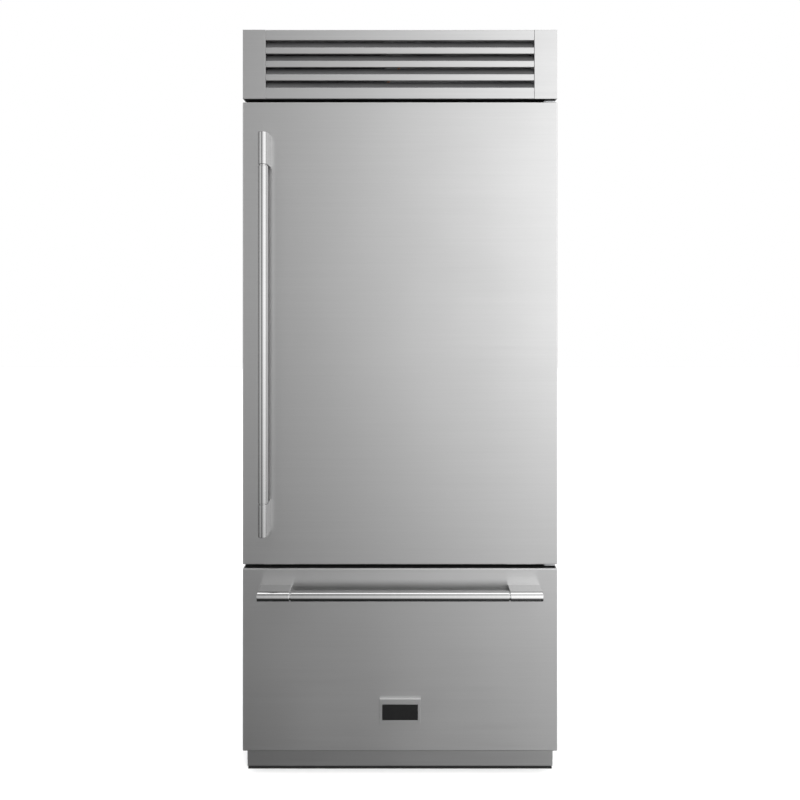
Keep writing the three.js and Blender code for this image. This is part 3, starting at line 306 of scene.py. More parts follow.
def blade(centre, axis_y, inner, outer, chord, turn):
    """A fan blade about an axis along y: over span s its pitch falls from the root's to the tip's, and
    across the chord its camber is a parabola and its thickness the square root of one."""
    thickness, camber, pitch = 2.0, 3.2, (0.85, 0.42)
    s = np.linspace(0, 1, 9)[:, None]
    t = np.linspace(-1, 1, 9)
    t = np.concatenate([t, t[-2:0:-1]])[None]
    side = np.concatenate([np.ones(9), -np.ones(7)])[None]
    width = chord * (0.75 + 0.45 * s - 0.3 * s ** 3) / 2
    lift = camber * (1 - t ** 2) + side * thickness / 2 * np.sqrt(np.maximum(1 - t ** 2, 0))
    twist = pitch[0] + (pitch[1] - pitch[0]) * s
    tangential = width * t * np.cos(twist) - lift * np.sin(twist)
    axial = width * t * np.sin(twist) + lift * np.cos(twist)
    radius = inner + (outer - inner) * s + 0 * t
    angle = turn + tangential / np.maximum(radius, 1)
    u, v = centre[0] + radius * np.cos(angle), centre[1] + radius * np.sin(angle)
    return skin(across("y", u, v, axis_y + axial))


def open_bin(u, v, low, high, corner, wall, draft, foot, banded=False):
    """An open-topped bin: rounded rectangles go out round the foot, up the drafted side, over the rim and
    back down inside. A banded one has a straight band under its rim, a crease further out than the
    side."""
    half, middle = rectangle(u, v)
    crease = 0.01 if banded else 0
    foot_in, foot_up = rolled(foot)
    rows = [(draft + i, low + h) for i, h in zip(foot_in, foot_up)]
    rows += [(crease, high - 3.2), (0, high - 2.8)] if banded else []
    rows += [(0, high - 0.5), (0.4, high), (wall + crease - 0.4, high), (wall + crease, high - 0.5)]
    rows += [(draft + wall + i, low + wall + h) for i, h in zip(foot_in[::-1], foot_up[::-1])]
    return stack("z", [(half[0] - i, half[1] - i, max(corner - i, 1.0), h, *middle) for i, h in rows], 6)


def hex_screw(axis, centre, base, out):
    """A hexagon head on a thin round flange: a sixteen-sided and a six-sided turned profile."""
    radius, head = 3.6, 2.0
    flange = [(0, 0), (radius, 0), (radius, 0.5), (radius - 0.4, 0.8), (0, 0.8)]
    top = [(0, 0), (radius * 0.64, 0), (radius * 0.64, head - 0.3), (radius * 0.54, head), (0, head)]
    return [lathe(axis, centre, [(r, base + out * rise) for r, rise in profile], sides)
            for profile, sides in ((flange, 16), (top, 6))]


def coil_tubes(x, y, levels, radius):
    """Tubes along x at each level, with half-circle bends between neighbours at alternate ends."""
    sides, flattened = 10, 0.9
    t = np.linspace(-np.pi / 2, np.pi / 2, 9)
    parts = []
    for k, z in enumerate(levels):
        parts.append(tube(across("x", y, z, np.linspace(x[0], x[1], 3)), radius, sides))
        if k:
            half = (z - levels[k - 1]) / 2
            end, way = (x[1], 1) if k % 2 else (x[0], -1)
            bend = across("x", y, z - half + half * np.sin(t), end + way * half * flattened * np.cos(t))
            parts.append(tube(bend, radius, sides))
    return parts


# ---------------------------------------------------------------- finishes

def shader(name, base, roughness, metallic=0.0, **more):
    """A new material with the given numbers set on the shader's own sockets."""
    material = bpy.data.materials.new(name)
    material.use_nodes = True
    surface = material.node_tree.nodes["Principled BSDF"]
    surface.inputs["Base Color"].default_value = (*base[:3], 1)
    surface.inputs["Roughness"].default_value = roughness
    surface.inputs["Metallic"].default_value = metallic
    for socket, value in more.items():
        surface.inputs[socket.replace("_", " ")].default_value = value
    return material, surface


def add(material, kind, **values):
    """A node with its properties and sockets set by name, i0 and i1 being sockets by number. A value that is
    another node's output is linked."""
    node = material.node_tree.nodes.new("ShaderNode" + kind)
    for key, value in values.items():
        if hasattr(node, key) and key not in node.inputs:
            setattr(node, key, value)
            continue
        numbered = key[0] == "i" and key[1:].isdigit()
        socket = node.inputs[int(key[1:]) if numbered else key.replace("_", " ")]
        if isinstance(value, bpy.types.NodeSocket):
            material.node_tree.links.new(value, socket)
        else:
            socket.default_value = value
    return node


def link(material, output, socket):
    material.node_tree.links.new(output, socket)


def object_noise(material, scale, detail, rough=0.5):
    """Noise on Object coordinates in metres: the scale is its frequency along x, y and z."""
    place = add(material, "TexCoord")
    stretch = add(material, "Mapping", Vector=place.outputs["Object"], Scale=scale)
    noise = add(material, "TexNoise", Vector=stretch.outputs[0], Scale=1.0, Detail=detail, Roughness=rough)
    return noise.outputs[0]


def spread(material, value, low, high, start=0.3, stop=0.7):
    """A value taken from start..stop to low..high."""
    taken = add(material, "MapRange", Value=value, From_Min=start, From_Max=stop, To_Min=low, To_Max=high)
    return taken.outputs[0]


def tint(material, value, dark, light, socket):
    """A colour between two, by a value, on a colour socket."""
    mix = add(material, "Mix", data_type="RGBA", i0=value)
    mix.inputs[6].default_value = (*dark, 1)
    mix.inputs[7].default_value = (*light, 1)
    link(material, mix.outputs[2], socket)


def relief(material, surface, value, distance, strength=1.0):
    """A bump of a real depth in metres from a value."""
    bump = add(material, "Bump", Height=value, Distance=distance, Strength=strength)
    link(material, bump.outputs[0], surface.inputs["Normal"])


def brushed(name, tone, roughness, grain, drawn, stretch, colours=None):
    """Brushed metal: fine streaks over broad ones, of slightly different tone and roughness. The grain is
    their frequency along x, y and z, and highlights are drawn out square to the axis `drawn`, in the
    surface. A metal that isn't grey has its darkest and lightest colour given."""
    darkest, lightest, across_grain, broader, fine_share = 0.934, 1.048, 20, 0.26, 0.35
    dark, light = colours or [(tone * share,) * 3 for share in (darkest, lightest)]
    material, surface = shader(name, (tone, tone, tone), roughness, 1.0, Anisotropic=stretch)
    streaks = object_noise(material, grain, 4.0, 0.65)
    broad = object_noise(material, [f if f < across_grain else f * broader for f in grain], 3.0, 0.7)
    cloud = object_noise(material, (3, 3, 2.2), 2.0)
    both = add(material, "Math", operation="MULTIPLY_ADD", i0=streaks, i1=fine_share)
    rest = add(material, "Math", operation="MULTIPLY", i0=broad, i1=1 - fine_share)
    link(material, rest.outputs[0], both.inputs[2])
    tint(material, both.outputs[0], dark, light, surface.inputs["Base Color"])
    fine = spread(material, streaks, roughness - 0.05, roughness + 0.06)
    wide = spread(material, cloud, -0.02, 0.025)
    uneven = add(material, "Math", operation="ADD", i0=fine, i1=wide)
    link(material, uneven.outputs[0], surface.inputs["Roughness"])
    relief(material, surface, streaks, 0.03 * MM, 0.5)
    facing = add(material, "NewGeometry")
    way = add(material, "VectorMath", operation="CROSS_PRODUCT", i0=facing.outputs["Normal"])
    way.inputs[1].default_value = drawn
    link(material, way.outputs[0], surface.inputs["Tangent"])
    return material


def painted(name, dark, light, roughness):
    """Powder paint: a fine orange-peel relief and slightly uneven gloss."""
    material, surface = shader(name, light, roughness)
    cloud = object_noise(material, (9, 9, 9), 3.0)
    tint(material, cloud, dark, light, surface.inputs["Base Color"])
    link(material, spread(material, cloud, roughness - 0.06, roughness + 0.08), surface.inputs["Roughness"])
    relief(material, surface, object_noise(material, (900, 900, 900), 2.0), 0.02 * MM)
    return material


def galvanised(name, tone, roughness):
    """Zinc-coated sheet: flat crystal cells of different brightness, with rolling streaks over them. It is
    only partly metallic, because dull zinc scatters much of its light."""
    metallic = 0.55
    material, surface = shader(name, (tone, tone, tone), roughness, metallic)
    place = add(material, "TexCoord")
    cells = add(material, "TexVoronoi", Vector=place.outputs["Object"], Scale=130.0, Randomness=1.0)
    grey = add(material, "RGBToBW", Color=cells.outputs["Color"]).outputs[0]
    tint(material, grey, (tone * 0.8, tone * 0.82, tone * 0.84), (tone * 1.08, tone * 1.09, tone * 1.1),
         surface.inputs["Base Color"])
    gloss = spread(material, grey, roughness - 0.08, roughness + 0.12, 0.1, 0.9)
    link(material, gloss, surface.inputs["Roughness"])
    relief(material, surface, object_noise(material, (12, 12, 300), 3.0), 0.02 * MM)
    return material


def moulded(name, dark, light, roughness, grain=700.0, depth=0.01 * MM, **more):
    """Moulded plastic or rubber: faint colour cloud and a fine grain."""
    material, surface = shader(name, light, roughness, **more)
    tint(material, object_noise(material, (6, 6, 6), 2.0), dark, light, surface.inputs["Base Color"])
    fine = object_noise(material, (grain, grain, grain), 2.0)
    link(material, spread(material, fine, roughness - 0.04, roughness + 0.06), surface.inputs["Roughness"])
    relief(material, surface, fine, depth)
    return material


def see_through(name, dark, light, roughness, index):
    """Glass or clear plastic of a refractive index: light passes, with faint moulding waves on its faces."""
    material, surface = shader(name, light, roughness, Transmission_Weight=1.0, IOR=index)
    wave = object_noise(material, (25, 25, 25), 1.0)
    tint(material, wave, dark, light, surface.inputs["Base Color"])
    relief(material, surface, wave, 0.1 * MM, 0.3)
    return material


# Highlights are drawn out square to these axes. Each leans towards y, so that no face's normal runs along it.
ALONG_X, ALONG_Z = (1.0, 0.05, 0.0), (0.0, 0.05, 1.0)
# Streaks along x on a panel, and turned rings round a bar that stands along z or lies along x
GRAIN_X, BAR_GRAIN_Z, BAR_GRAIN_X = (2, 700, 700), (2, 2, 500), (500, 2, 2)
PANEL_TONE, PANEL_ROUGH = 0.61, 0.36
COPPER = (0.62, 0.27, 0.13), (0.86, 0.44, 0.24)
FINISH = {
    "steel_panel": brushed("front_panel_steel", PANEL_TONE, PANEL_ROUGH, GRAIN_X, ALONG_X, 0.7),
    "steel_bar": brushed("handle_bar_steel", 0.42, 0.16, BAR_GRAIN_Z, ALONG_X, 0.5),
    "steel_bracket": brushed("handle_bracket_steel", 0.42, 0.18, BAR_GRAIN_Z, ALONG_X, 0.5),
    "badge_steel": brushed("badge_steel", PANEL_TONE, PANEL_ROUGH, GRAIN_X, ALONG_X, 0.6),
    "black_metal": painted("black_body_paint", (0.012, 0.012, 0.013), (0.02, 0.02, 0.021), 0.42),
    "grey_sheet": painted("grey_side_paint", (0.23, 0.235, 0.24), (0.27, 0.275, 0.28), 0.40),
    "zinc_sheet": galvanised("zinc_coated_sheet", 0.56, 0.40),
    "white_liner": moulded("white_liner_plastic", (0.76, 0.77, 0.77), (0.82, 0.83, 0.82), 0.30),
    "clear_bin": see_through("clear_bin_plastic", (0.90, 0.95, 0.97), (0.97, 0.99, 1.0), 0.05, 1.49),
    "shelf_glass": see_through("shelf_glass", (0.86, 0.95, 0.92), (0.93, 0.98, 0.96), 0.01, 1.5),
    "seal_rubber": moulded("seal_rubber", (0.20, 0.205, 0.21), (0.26, 0.265, 0.27), 0.62, 900.0, 0.02 * MM),
    "black_plastic": moulded("black_plastic", (0.012, 0.012, 0.012), (0.022, 0.022, 0.023), 0.46),
    "foam": moulded("insulation_foam_cells", (0.62, 0.52, 0.24), (0.80, 0.70, 0.38), 0.9, 260.0, 0.4 * MM),
    "copper_pipe": brushed("copper_pipe", 0.6, 0.28, (2, 500, 500), ALONG_X, 0.2, COPPER),
    "coil_aluminium": brushed("coil_aluminium", 0.66, 0.34, (2, 400, 400), ALONG_X, 0.2),
}
# the handle steel made lighter for the drawer's lying bar, and lighter still for its brackets: painted light,
# for their tops that catch the ceiling's light
LIT_LYING_BAR = brushed("drawer_bar_steel_lit", 0.56, 0.12, BAR_GRAIN_X, ALONG_Z, 0.6)
LIT_LYING_BRACKET = brushed("drawer_bracket_steel_lit", 0.66, 0.16, BAR_GRAIN_X, ALONG_Z, 0.6)
# the panel steel made darker for the toe panel: painted shade, for its recess under the drawer
SHADED_TOE_STEEL = brushed("toe_panel_steel_shaded", 0.46, 0.38, GRAIN_X, ALONG_X, 0.7)
# near-black paint on the grille's fins: painted shade inside the slots
FIN_SHADE_PAINT = painted("grille_fin_shade_paint", (0.030, 0.030, 0.031), (0.046, 0.046, 0.047), 0.42)
# near-black plastic for the gap caps and the strip under the toe panel: painted shade in the gaps
GAP_SHADE_BLACK = moulded("gap_shade_black_plastic", (0.006, 0.006, 0.006), (0.010, 0.010, 0.010), 0.8, 600.0)
GLOSS_BLACK = moulded("badge_black_enamel", (0.004, 0.004, 0.004), (0.007, 0.007, 0.007), 0.12, 500.0,
                      0.004 * MM)
LAMP_LENS = moulded("lamp_lens", (0.9, 0.9, 0.88), (0.97, 0.97, 0.95), 0.35, 300.0,
                    Emission_Color=(1, 0.97, 0.9, 1), Emission_Strength=0.6)
DARK_GLASS = moulded("display_glass", (0.006, 0.007, 0.009), (0.01, 0.011, 0.013), 0.06, 400.0, 0.002 * MM)

for entry in frame["record"]["subparts"]:
    for holder in frame["nodes"][entry["node"]].material_slots:
        holder.material = FINISH[entry["material_slot"]]


def corner_normals(mesh):
    """At each face corner the mean, by area, of the normals round its vertex that lie within SMOOTH of the
    face's own: wide flat faces stay flat beside their rolled edges."""
    corners, faces = len(mesh.loops), len(mesh.polygons)
    vertex, count = np.zeros(corners, int), np.zeros(faces, int)
    facing, area = np.zeros(faces * 3), np.zeros(faces)
    mesh.loops.foreach_get("vertex_index", vertex)
    mesh.polygons.foreach_get("loop_total", count)
    mesh.polygons.foreach_get("normal", facing)
    mesh.polygons.foreach_get("area", area)
    facing, owner = facing.reshape(-1, 3), np.repeat(np.arange(faces), count)
    order = np.argsort(vertex, kind="stable")
    met = np.bincount(vertex, minlength=len(mesh.vertices))
    first = np.cumsum(met) - met
    total = np.zeros((corners, 3))
    for k in range(met.max()):
        here = np.flatnonzero(met[vertex] > k)
        other = owner[order[first[vertex[here]] + k]]
        near = (facing[owner[here]] * facing[other]).sum(1) > math.cos(SMOOTH)
        total[here] += facing[other] * (area[other] * near)[:, None]
    return total / np.linalg.norm(total, axis=1)[:, None]


def piece(name, parts, slot, body, replaces, finish=None):
    """Joins parts into one mesh in metres, with its faces outwards and its soft edges smooth. It rides on
    a body and takes the place of a node of the frame."""
    parts = parts if isinstance(parts, list) else [parts]
    points, faces, step = [], [], 0
    for part_points, quads, ends in parts:
        points.append(part_points)
        faces.extend((quads + step).tolist())
        faces.extend((end + step).tolist() for end in ends)
        step += len(part_points)
    mesh = bpy.data.meshes.new(name)
    metres = np.concatenate(points) * MM + [0, DOOR_FACE, 0]
    mesh.from_pydata(metres.tolist(), [], faces)
    work = bmesh.new()
    work.from_mesh(mesh)
    bmesh.ops.remove_doubles(work, verts=work.verts, dist=2e-6)
    bmesh.ops.recalc_face_normals(work, faces=work.faces)
    work.to_mesh(mesh)
    work.free()
    mesh.shade_smooth()
    mesh.set_sharp_from_angle(angle=SMOOTH)
    mesh.normals_split_custom_set(corner_normals(mesh).tolist())
    mesh.materials.append(finish or FINISH[slot])
    shape = bpy.data.objects.new(name, mesh)
    bpy.context.scene.collection.objects.link(shape)
    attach(shape, body)
    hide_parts(replaces)


# ---------------------------------------------------------------- fronts

def pan(node, name, body):
    """A folded pan: quarter-circle edges round the face, a straight side, a flange turned in, and back
    inside."""
    bend, wall, flange, corner, edge = 3.0, 1.2, 14.0, 3.2, 0.6
    low, high = plan(node)
    inset, risen = rolled(bend)
    section = list(zip(inset, low[1] + risen))
    section += [(0, high[1] - edge), (edge, high[1]), (flange, high[1]), (flange, high[1] - wall),
                (wall, high[1] - wall), (wall, low[1] + bend), (bend, low[1] + wall)]
    half, middle = rectangle((low[0], high[0]), (low[2], high[2]))
    rows = [(half[0] - i, half[1] - i, corner - 0.8 * i, y, *middle) for i, y in section]
    piece(name, stack("y", rows), "steel_panel", body, node)


def toe_panel():
    """A sheet folded to an L, its steel darkened as painted shade, its foot turned back above the floor, and
    below it a near-black seal that paints the shadow in the gap under the panel.
    """
    low, high = plan("toe_kick")
    y, foot = low[1] + SHEET / 2, low[2] + FOLD_LINE
    line = bent([(high[1], foot), (y, foot), (y, high[2])], 2.0)
    panel = folded("x", line, SHEET, low[0], high[0])
    piece("toe_panel", panel, "steel_panel", "cabinet", "toe_kick", SHADED_TOE_STEEL)
    # a near-black strip in the gap under the panel: painted shadow
    seal = slab("y", (low[0] + 2, high[0] - 2), (HAIR, low[2] + 0.4), (y - 0.5, high[1] - 0.5), 0.3, 0.2)
    piece("toe_gap_shade_seal", seal, "black_plastic", "cabinet", "toe_kick", GAP_SHADE_BLACK)


def grille():
    """Two posts, two folded rails, three folded blades, and a fin behind each blade and the bottom rail,
    painted near-black as the shade inside the slots."""
    blade_face, end_gap, post_gap = 18.8, 0.3, 0.8
    low, high = plan("grille_frame")
    first_blade, second_blade, top_blade = (plan(f"grille_louver_{k}")[0][2] for k in (3, 2, 1))
    pitch = second_blade - first_blade
    bottom_of_slots, top_of_slots = first_blade + blade_face - pitch, top_blade + pitch
    inner = plan("grille_louver_3")[1][0] + end_gap

    def post(name, near, far):
        shape = slab("y", (near, far), (low[2], high[2]), (low[1], high[1]), 1.0, 0.7)
        piece(name, shape, "steel_panel", "cabinet", "grille_frame")

    def rail(name, edge, slot, lip, bend):
        front = low[1] + FOLD_LINE
        line = bent([(high[1], edge), (front, edge), (front, slot), (low[1] + lip, slot)], bend)
        piece(name, folded("x", line, SHEET, -inner, inner), "steel_panel", "cabinet", "grille_frame")

    def fin(name, front, top, node):
        """A strip painted near-black as the shade in the slot, which drops behind a blade's top lip and then
        climbs back across the slot above it.
        """
        line = bent(np.array([(2.2, -2.6), (2.6, -0.4), (11.2, 17.2), (11.4, 17.9)]) + (front, top), 0.6)
        shape = folded("x", line, 1.1, HAIR - inner, inner - HAIR)
        piece(name, shape, "black_metal", "cabinet", node, FIN_SHADE_PAINT)

    post("grille_stile_left", low[0], -inner - post_gap)
    post("grille_stile_right", inner + post_gap, high[0])
    rail("grille_top_rail", high[2] - FOLD_LINE, top_of_slots + FOLD_LINE, 9, 1.6)
    rail("grille_bottom_rail", low[2] + FOLD_LINE, bottom_of_slots - FOLD_LINE, 3.2, 1.2)
    fin("grille_bottom_fin", low[1], bottom_of_slots, "grille_frame")
    for k in (1, 2, 3):
        node = f"grille_louver_{k}"
        blade_low, blade_high = plan(node)
        y, bottom, top = blade_low[1] + SHEET / 2, blade_low[2], blade_low[2] + blade_face
        line = bent([(y + 5, bottom + SHEET / 2), (y, bottom + SHEET / 2), (y, top - SHEET / 2),
                     (y + 2.2, top - SHEET / 2)], 1.2)
        shape = folded("x", line, SHEET, blade_low[0], blade_high[0])
        piece(f"louver_blade_{k}", shape, "steel_panel", "cabinet", node)
        fin(f"louver_fin_{k}", blade_low[1], top, node)


def upright(node, axis):
    """Corners of a node's box, with its long axis as the third."""
    low, high = plan(node)
    return (low, high) if axis == "z" else (low[[2, 1, 0]], high[[2, 1, 0]])


def laid(part, axis):
    """An upright part, laid along x where that is its axis."""
    points, quads, ends = part
    return part if axis == "z" else (points[:, [2, 1, 0]], quads, ends)


def handle_bar(node, name, body, axis, finish=None):
    """A turned bar with rounded shoulders, stepped down to a neck at each end."""
    neck, groove, shoulder = 11.5, 3.5, 0.9
    low, high = upright(node, axis)
    centre, radius = (low[:2] + high[:2]) / 2, (high[0] - low[0]) / 2
    inset, risen = rolled(shoulder)
    profile = [(0, low[2]), (neck, low[2])]
    profile += [(neck, low[2] + groove), *zip(radius - inset, low[2] + groove + risen)]
    profile += [*zip(radius - inset[::-1], high[2] - groove - risen[::-1]), (neck, high[2] - groove)]
    profile += [(neck, high[2]), (0, high[2])]
    piece(name, laid(lathe("z", centre, profile, 64), axis), "steel_bar", body, node, finish)


def handle_bracket(node, name, body, axis, finish=None):
    """A block from the panel to the bar with a half-round nose, its two end edges rolled over."""
    edge = 1.4
    low, high = upright(node, axis)
    middle, radius = (low[0] + high[0]) / 2, (high[0] - low[0]) / 2
    standoff = -low[1] - radius
    arc = np.linspace(0, np.pi, 25)
    sunk, risen = rolled(edge)
    inset = np.concatenate([sunk, risen])[:, None]
    height = np.concatenate([low[2] + risen, high[2] - sunk])[:, None]
    side = radius - inset
    nose_u, nose_v = side * np.cos(arc), -standoff - side * np.sin(arc)
    u = middle + np.concatenate([side, side, nose_u, -side, -side], 1)
    foot, half_way = inset * 0 - 0.01, inset * 0 - standoff / 2
    v = np.concatenate([foot, half_way, nose_v, half_way, foot], 1)
    piece(name, laid(skin(across("z", u, v, height)), axis), "steel_bracket", body, node, finish)


def badge():
    """A steel surround whose face slopes to the lower edge, and a bare black plate sunk in it."""
    low, high = plan("badge_plate")
    middle, front = (high[2] + low[2]) / 2, low[1]
    half_u, half_v = 58.2, (high[2] - low[2]) / 2
    plate_u, plate_v, plate_middle, gap = 51.0, 22.5, middle - 2.2, 0.2
    rows = [(half_u, half_v, 1.2, high[1], 0, middle), (half_u, half_v, 1.2, front + 2.6, 0, middle),
            (half_u - 0.15, half_v - 0.4, 1.1, front + 1.6, 0, middle - 0.3),
            (half_u - 0.35, half_v - 1.5, 0.9, front + 0.3, 0, middle - 1.1),
            (half_u - 0.7, half_v - 1.9, 0.8, front, 0, middle - 1.3),
            (plate_u + gap, plate_v + gap, 0.8, front, 0, plate_middle),
            (plate_u, plate_v, 0.6, front + gap, 0, plate_middle),
            (plate_u, plate_v, 0.6, front + 1.5, 0, plate_middle)]
    piece("badge_surround", stack("y", rows), "badge_steel", "freezer_drawer", "badge_plate")
    plate_z = (plate_middle - plate_v + gap, plate_middle + plate_v - gap)
    face = slab("y", (gap - plate_u, plate_u - gap), plate_z, (front + 0.5, front + 1.45), 0.5, 0.3)
    piece("badge_face", face, "black_plastic", "freezer_drawer", "badge_plate", GLOSS_BLACK)


def gap_shade_caps():
    """Thin near-black caps on the ends of the panels that face each other across the gaps: they paint the
    shade in the gaps.
    """
    for name, node, body, top in (("door_shade_cap_top", "door_shell", "fridge_door", True),
                                  ("door_shade_cap_bottom", "door_shell", "fridge_door", False),
                                  ("drawer_shade_cap_top", "drawer_shell", "freezer_drawer", True),
                                  ("grille_shade_cap_bottom", "grille_frame", "cabinet", False)):
        low, high = plan(node)
        z = (high[2] - 0.05, high[2] + 0.35) if top else (low[2] - 0.35, low[2] + 0.05)
        shade_cap = slab("z", (low[0] + 4, high[0] - 4), (low[1] + 4.5, high[1] - 0.5), z, 1.0, 0.15)
        piece(name, shade_cap, "black_plastic", body, node, GAP_SHADE_BLACK)


def handles():
    """The upright handle of the door and the lying one of the drawer, each a bar between two brackets."""
    handle_bar("door_handle_bar", "door_bar", "fridge_door", "z")
    for end in ("top", "bottom"):
        handle_bracket(f"door_handle_bracket_{end}", f"door_bar_bracket_{end}", "fridge_door", "z")
    # the drawer's bar and brackets take the lightened steel: painted light
    handle_bar("drawer_handle_bar", "drawer_bar", "freezer_drawer", "x", LIT_LYING_BAR)
    for end in ("left", "right"):
        handle_bracket(f"drawer_handle_bracket_{end}", f"drawer_bar_bracket_{end}", "freezer_drawer", "x",
                       LIT_LYING_BRACKET)


# ---------------------------------------------------------------- cabinet

def gasket(node, name, body):
    """A bellows seal: a foot, a narrow waist and a soft bulb carried round the panel's edge."""
    low, high = plan(node)
    section = [(1, 0.1), (15, 0.1), (15.6, 1.4), (13.2, 3), (15.8, 4.6), (16, 7.6), (14.8, 8.6), (1.2, 8.6),
               (0, 7.6), (0.2, 4.6), (2.8, 3), (0.4, 1.4)]
    profile = [(inset, low[1] + depth) for inset, depth in section]
    piece(name, hoop("y", (low[0], high[0]), (low[2], high[2]), profile, 6.0, 7), "seal_rubber", body, node)


def side_skins():
    """Painted sides, screwed down the front and the rear edge and round the machine space."""
    deck = plan("machine_deck")[1][2]
    for side, out in (("left", -1), ("right", 1)):
        low, high = plan(f"side_panel_{side}")
        outer = (low if out < 0 else high)[0] - out * HAIR / 2
        around_machine = (deck + 18, high[2] - 19)
        heights = [low[2] + 35 + 500 * k for k in range(4)] + [*around_machine]
        spots = [(y, z) for y in (low[1] + 22, high[1] - 25) for z in heights]
        spots += [(y, z) for y in (260, 430) for z in around_machine]
        sheet = screwed_sheet("x", (low[1], high[1]), (low[2], high[2]), outer, 1.4, spots, out)
        piece(f"side_skin_{side}", sheet, "grey_sheet", "cabinet", f"side_panel_{side}")


def rear_and_top_skins():
    """A zinc-coated rear with a pressed field, and a painted top with its rear flange turned down."""
    edge_x = 436
    low, high = plan("back_panel")
    heights = (105, 560, 1030, 1500, 1942)
    spots = [(x, z) for x in (-edge_x, edge_x) for z in heights]
    spots += [(x, z) for x in (-145, 145) for z in (heights[0], heights[-1])]
    rear = screwed_sheet("y", (low[0], high[0]), (low[2], high[2]), high[1] - HAIR, 1.3, spots, 1, (34, 0.9))
    piece("rear_sheet", rear, "zinc_sheet", "cabinet", "back_panel")
    low, high = plan("top_cover")
    spots = [(x, y) for x in (-edge_x, 0, edge_x) for y in (72, 600)] + [(-edge_x, 336), (edge_x, 336)]
    y = (low[1], high[1] - 1.5)
    top = screwed_sheet("z", (low[0], high[0]), y, high[2] - HAIR, 1.4, spots, 1, (40, 1.0))
    spots = [(x, high[2] - 16) for x in (-420, -140, 140, 420)]
    top += screwed_sheet("y", (low[0], high[0]), (low[2], high[2] - 1.2), high[1] - HAIR, 1.3, spots, 1)
    piece("top_sheet", top, "grey_sheet", "cabinet", "top_cover")


def liner_shell(node, name, parts=()):
    """An open moulded box: forward along its outer wall, over the front edge and back along the inside to a
    filleted rear wall."""
    radius = 7.0
    low, high = plan(node)
    front, rear, wall = low[1], high[1], high[0] - CAVITY_HALF
    inset, risen = rolled(radius)
    section = [(0.05, rear - HAIR), (0.05, front + 0.8), (0.5, front + HAIR), (wall - 0.6, front + HAIR),
               (wall, front + 0.9)]
    section += [(wall + i, rear - wall - h) for i, h in zip(inset[::-1], risen[::-1])]
    half, middle = rectangle((low[0], high[0]), (low[2], high[2]))
    rows = [(half[0] - i, half[1] - i, radius + 1 - min(i, 2), y, *middle) for i, y in section]
    piece(name, [stack("y", rows, 7), *parts], "white_liner", "cabinet", node)


# ---------------------------------------------------------------- inside the refrigerator

def cold_air_duct():
    """A raised channel up the rear wall with groups of slots, one for each space. Its front is made of
    strips."""
    half_width, depth, sheet, edge_radius = 90.0, 7.0, 1.4, 6.0
    strip_inset, slots, slot_pitch, slot_half, slot_height = 8.0, 5, 12, 58, 5
    liner_high = plan("fridge_liner")[1]
    wall = liner_high[0] - CAVITY_HALF
    front = liner_high[1] - wall - depth
    low, high = plan("crisper_shelf")[1][2] + 12, plan("ceiling_console")[0][2] - 15
    shelves = [plan(f"glass_shelf_{k}")[0][2] for k in (1, 2, 3)]
    pitch = shelves[1] - shelves[0]
    section = [(0, 7.3), (0, 2.4), (0.5, 1.0), (1.6, 0.2), (3, 0), (8.2, 0), (8.2, sheet), (3, 1.6), (1.6, 3),
               (1.6, 7.3)]
    edge = [(inset, front + y) for inset, y in section]
    parts = [hoop("y", (-half_width, half_width), (low, high), edge, edge_radius)]
    u = (strip_inset - half_width, half_width - strip_inset)

    def strip(bottom, top):
        return slab("y", u, (bottom, top), (front, front + sheet), 0.05, SHARP, 2)

    at = low + strip_inset
    for vent in (shelves[0] - 95.5 + pitch * k for k in range(4)):
        parts.append(strip(at, vent))
        for k in range(slots):
            z = vent + slot_pitch * k
            opening = (z + 3.5, z + 3.5 + slot_height)
            parts.append(slotted("y", u, (z, z + slot_pitch), (-slot_half, slot_half), opening,
                                 (front, front + sheet), 2.4))
        at = vent + slots * slot_pitch
    parts.append(strip(at, high - strip_inset))
    shadow = slab("y", (-70, 70), (low + 18.5, high - 15), (front + 4.5, front + 6.5), 3, 0.5)
    piece("duct_shadow", shadow, "black_plastic", "cabinet", "fridge_liner")
    return parts


def shelves():
    """Panes in moulded frames with a deeper front rail. The lowest covers the crispers and has a post
    between them."""
    for k, node in enumerate(("glass_shelf_1", "glass_shelf_2", "glass_shelf_3", "crisper_shelf")):
        low, high = plan(node)
        name, top = f"shelf_{k + 1}" if k < 3 else "crisper_cover", high[2]
        x, y = (low[0] + HAIR, high[0] - HAIR), (low[1] + HAIR, high[1] - HAIR)
        rim = [(0.8, -14), (0, -13.2), (0, -0.8), (0.8, 0), (6.4, 0), (7, -0.5), (7, -1.4), (1.5, -1.4),
               (1.5, -5.9), (12, -5.9), (12, -13.4), (11.4, -14)]
        parts = [hoop("z", x, y, [(inset, top + rise) for inset, rise in rim], 3.0),
                 slab("x", (y[0], y[0] + 13), (top - 13.9, top - 0.05), (x[0] + 3, x[1] - 3), 4.5, 1.0)]
        if node == "crisper_shelf":
            parts.append(slab("x", (low[1] + 1, high[1] - 1), (low[2] + HAIR, top - 6), (-4, 4), 1.0, 0.8))
            parts.append(slab("x", (low[1] + 0.4, low[1] + 5), (low[2] + 0.5, top - 10), (-4, 4), 2.0, 1.6))
        piece(f"{name}_frame", parts, "white_liner", "cabinet", node)
        pane = slab("z", (x[0] + 1.6, x[1] - 1.6), (y[0] + 1.6, y[1] - 1.6), (top - 5.8, top - 1.5), 2.0, 0.6)
        piece(f"{name}_pane", pane, "shelf_glass", "cabinet", node)


def bottom_ribs(bottom, rise, y, centres, half_width):
    """Low ribs from front to back on the bottom of a bin."""
    z = (bottom, bottom + rise)
    return [slab("x", y, z, (x - half_width, x + half_width), 0.6, 0.5, 2) for x in centres]


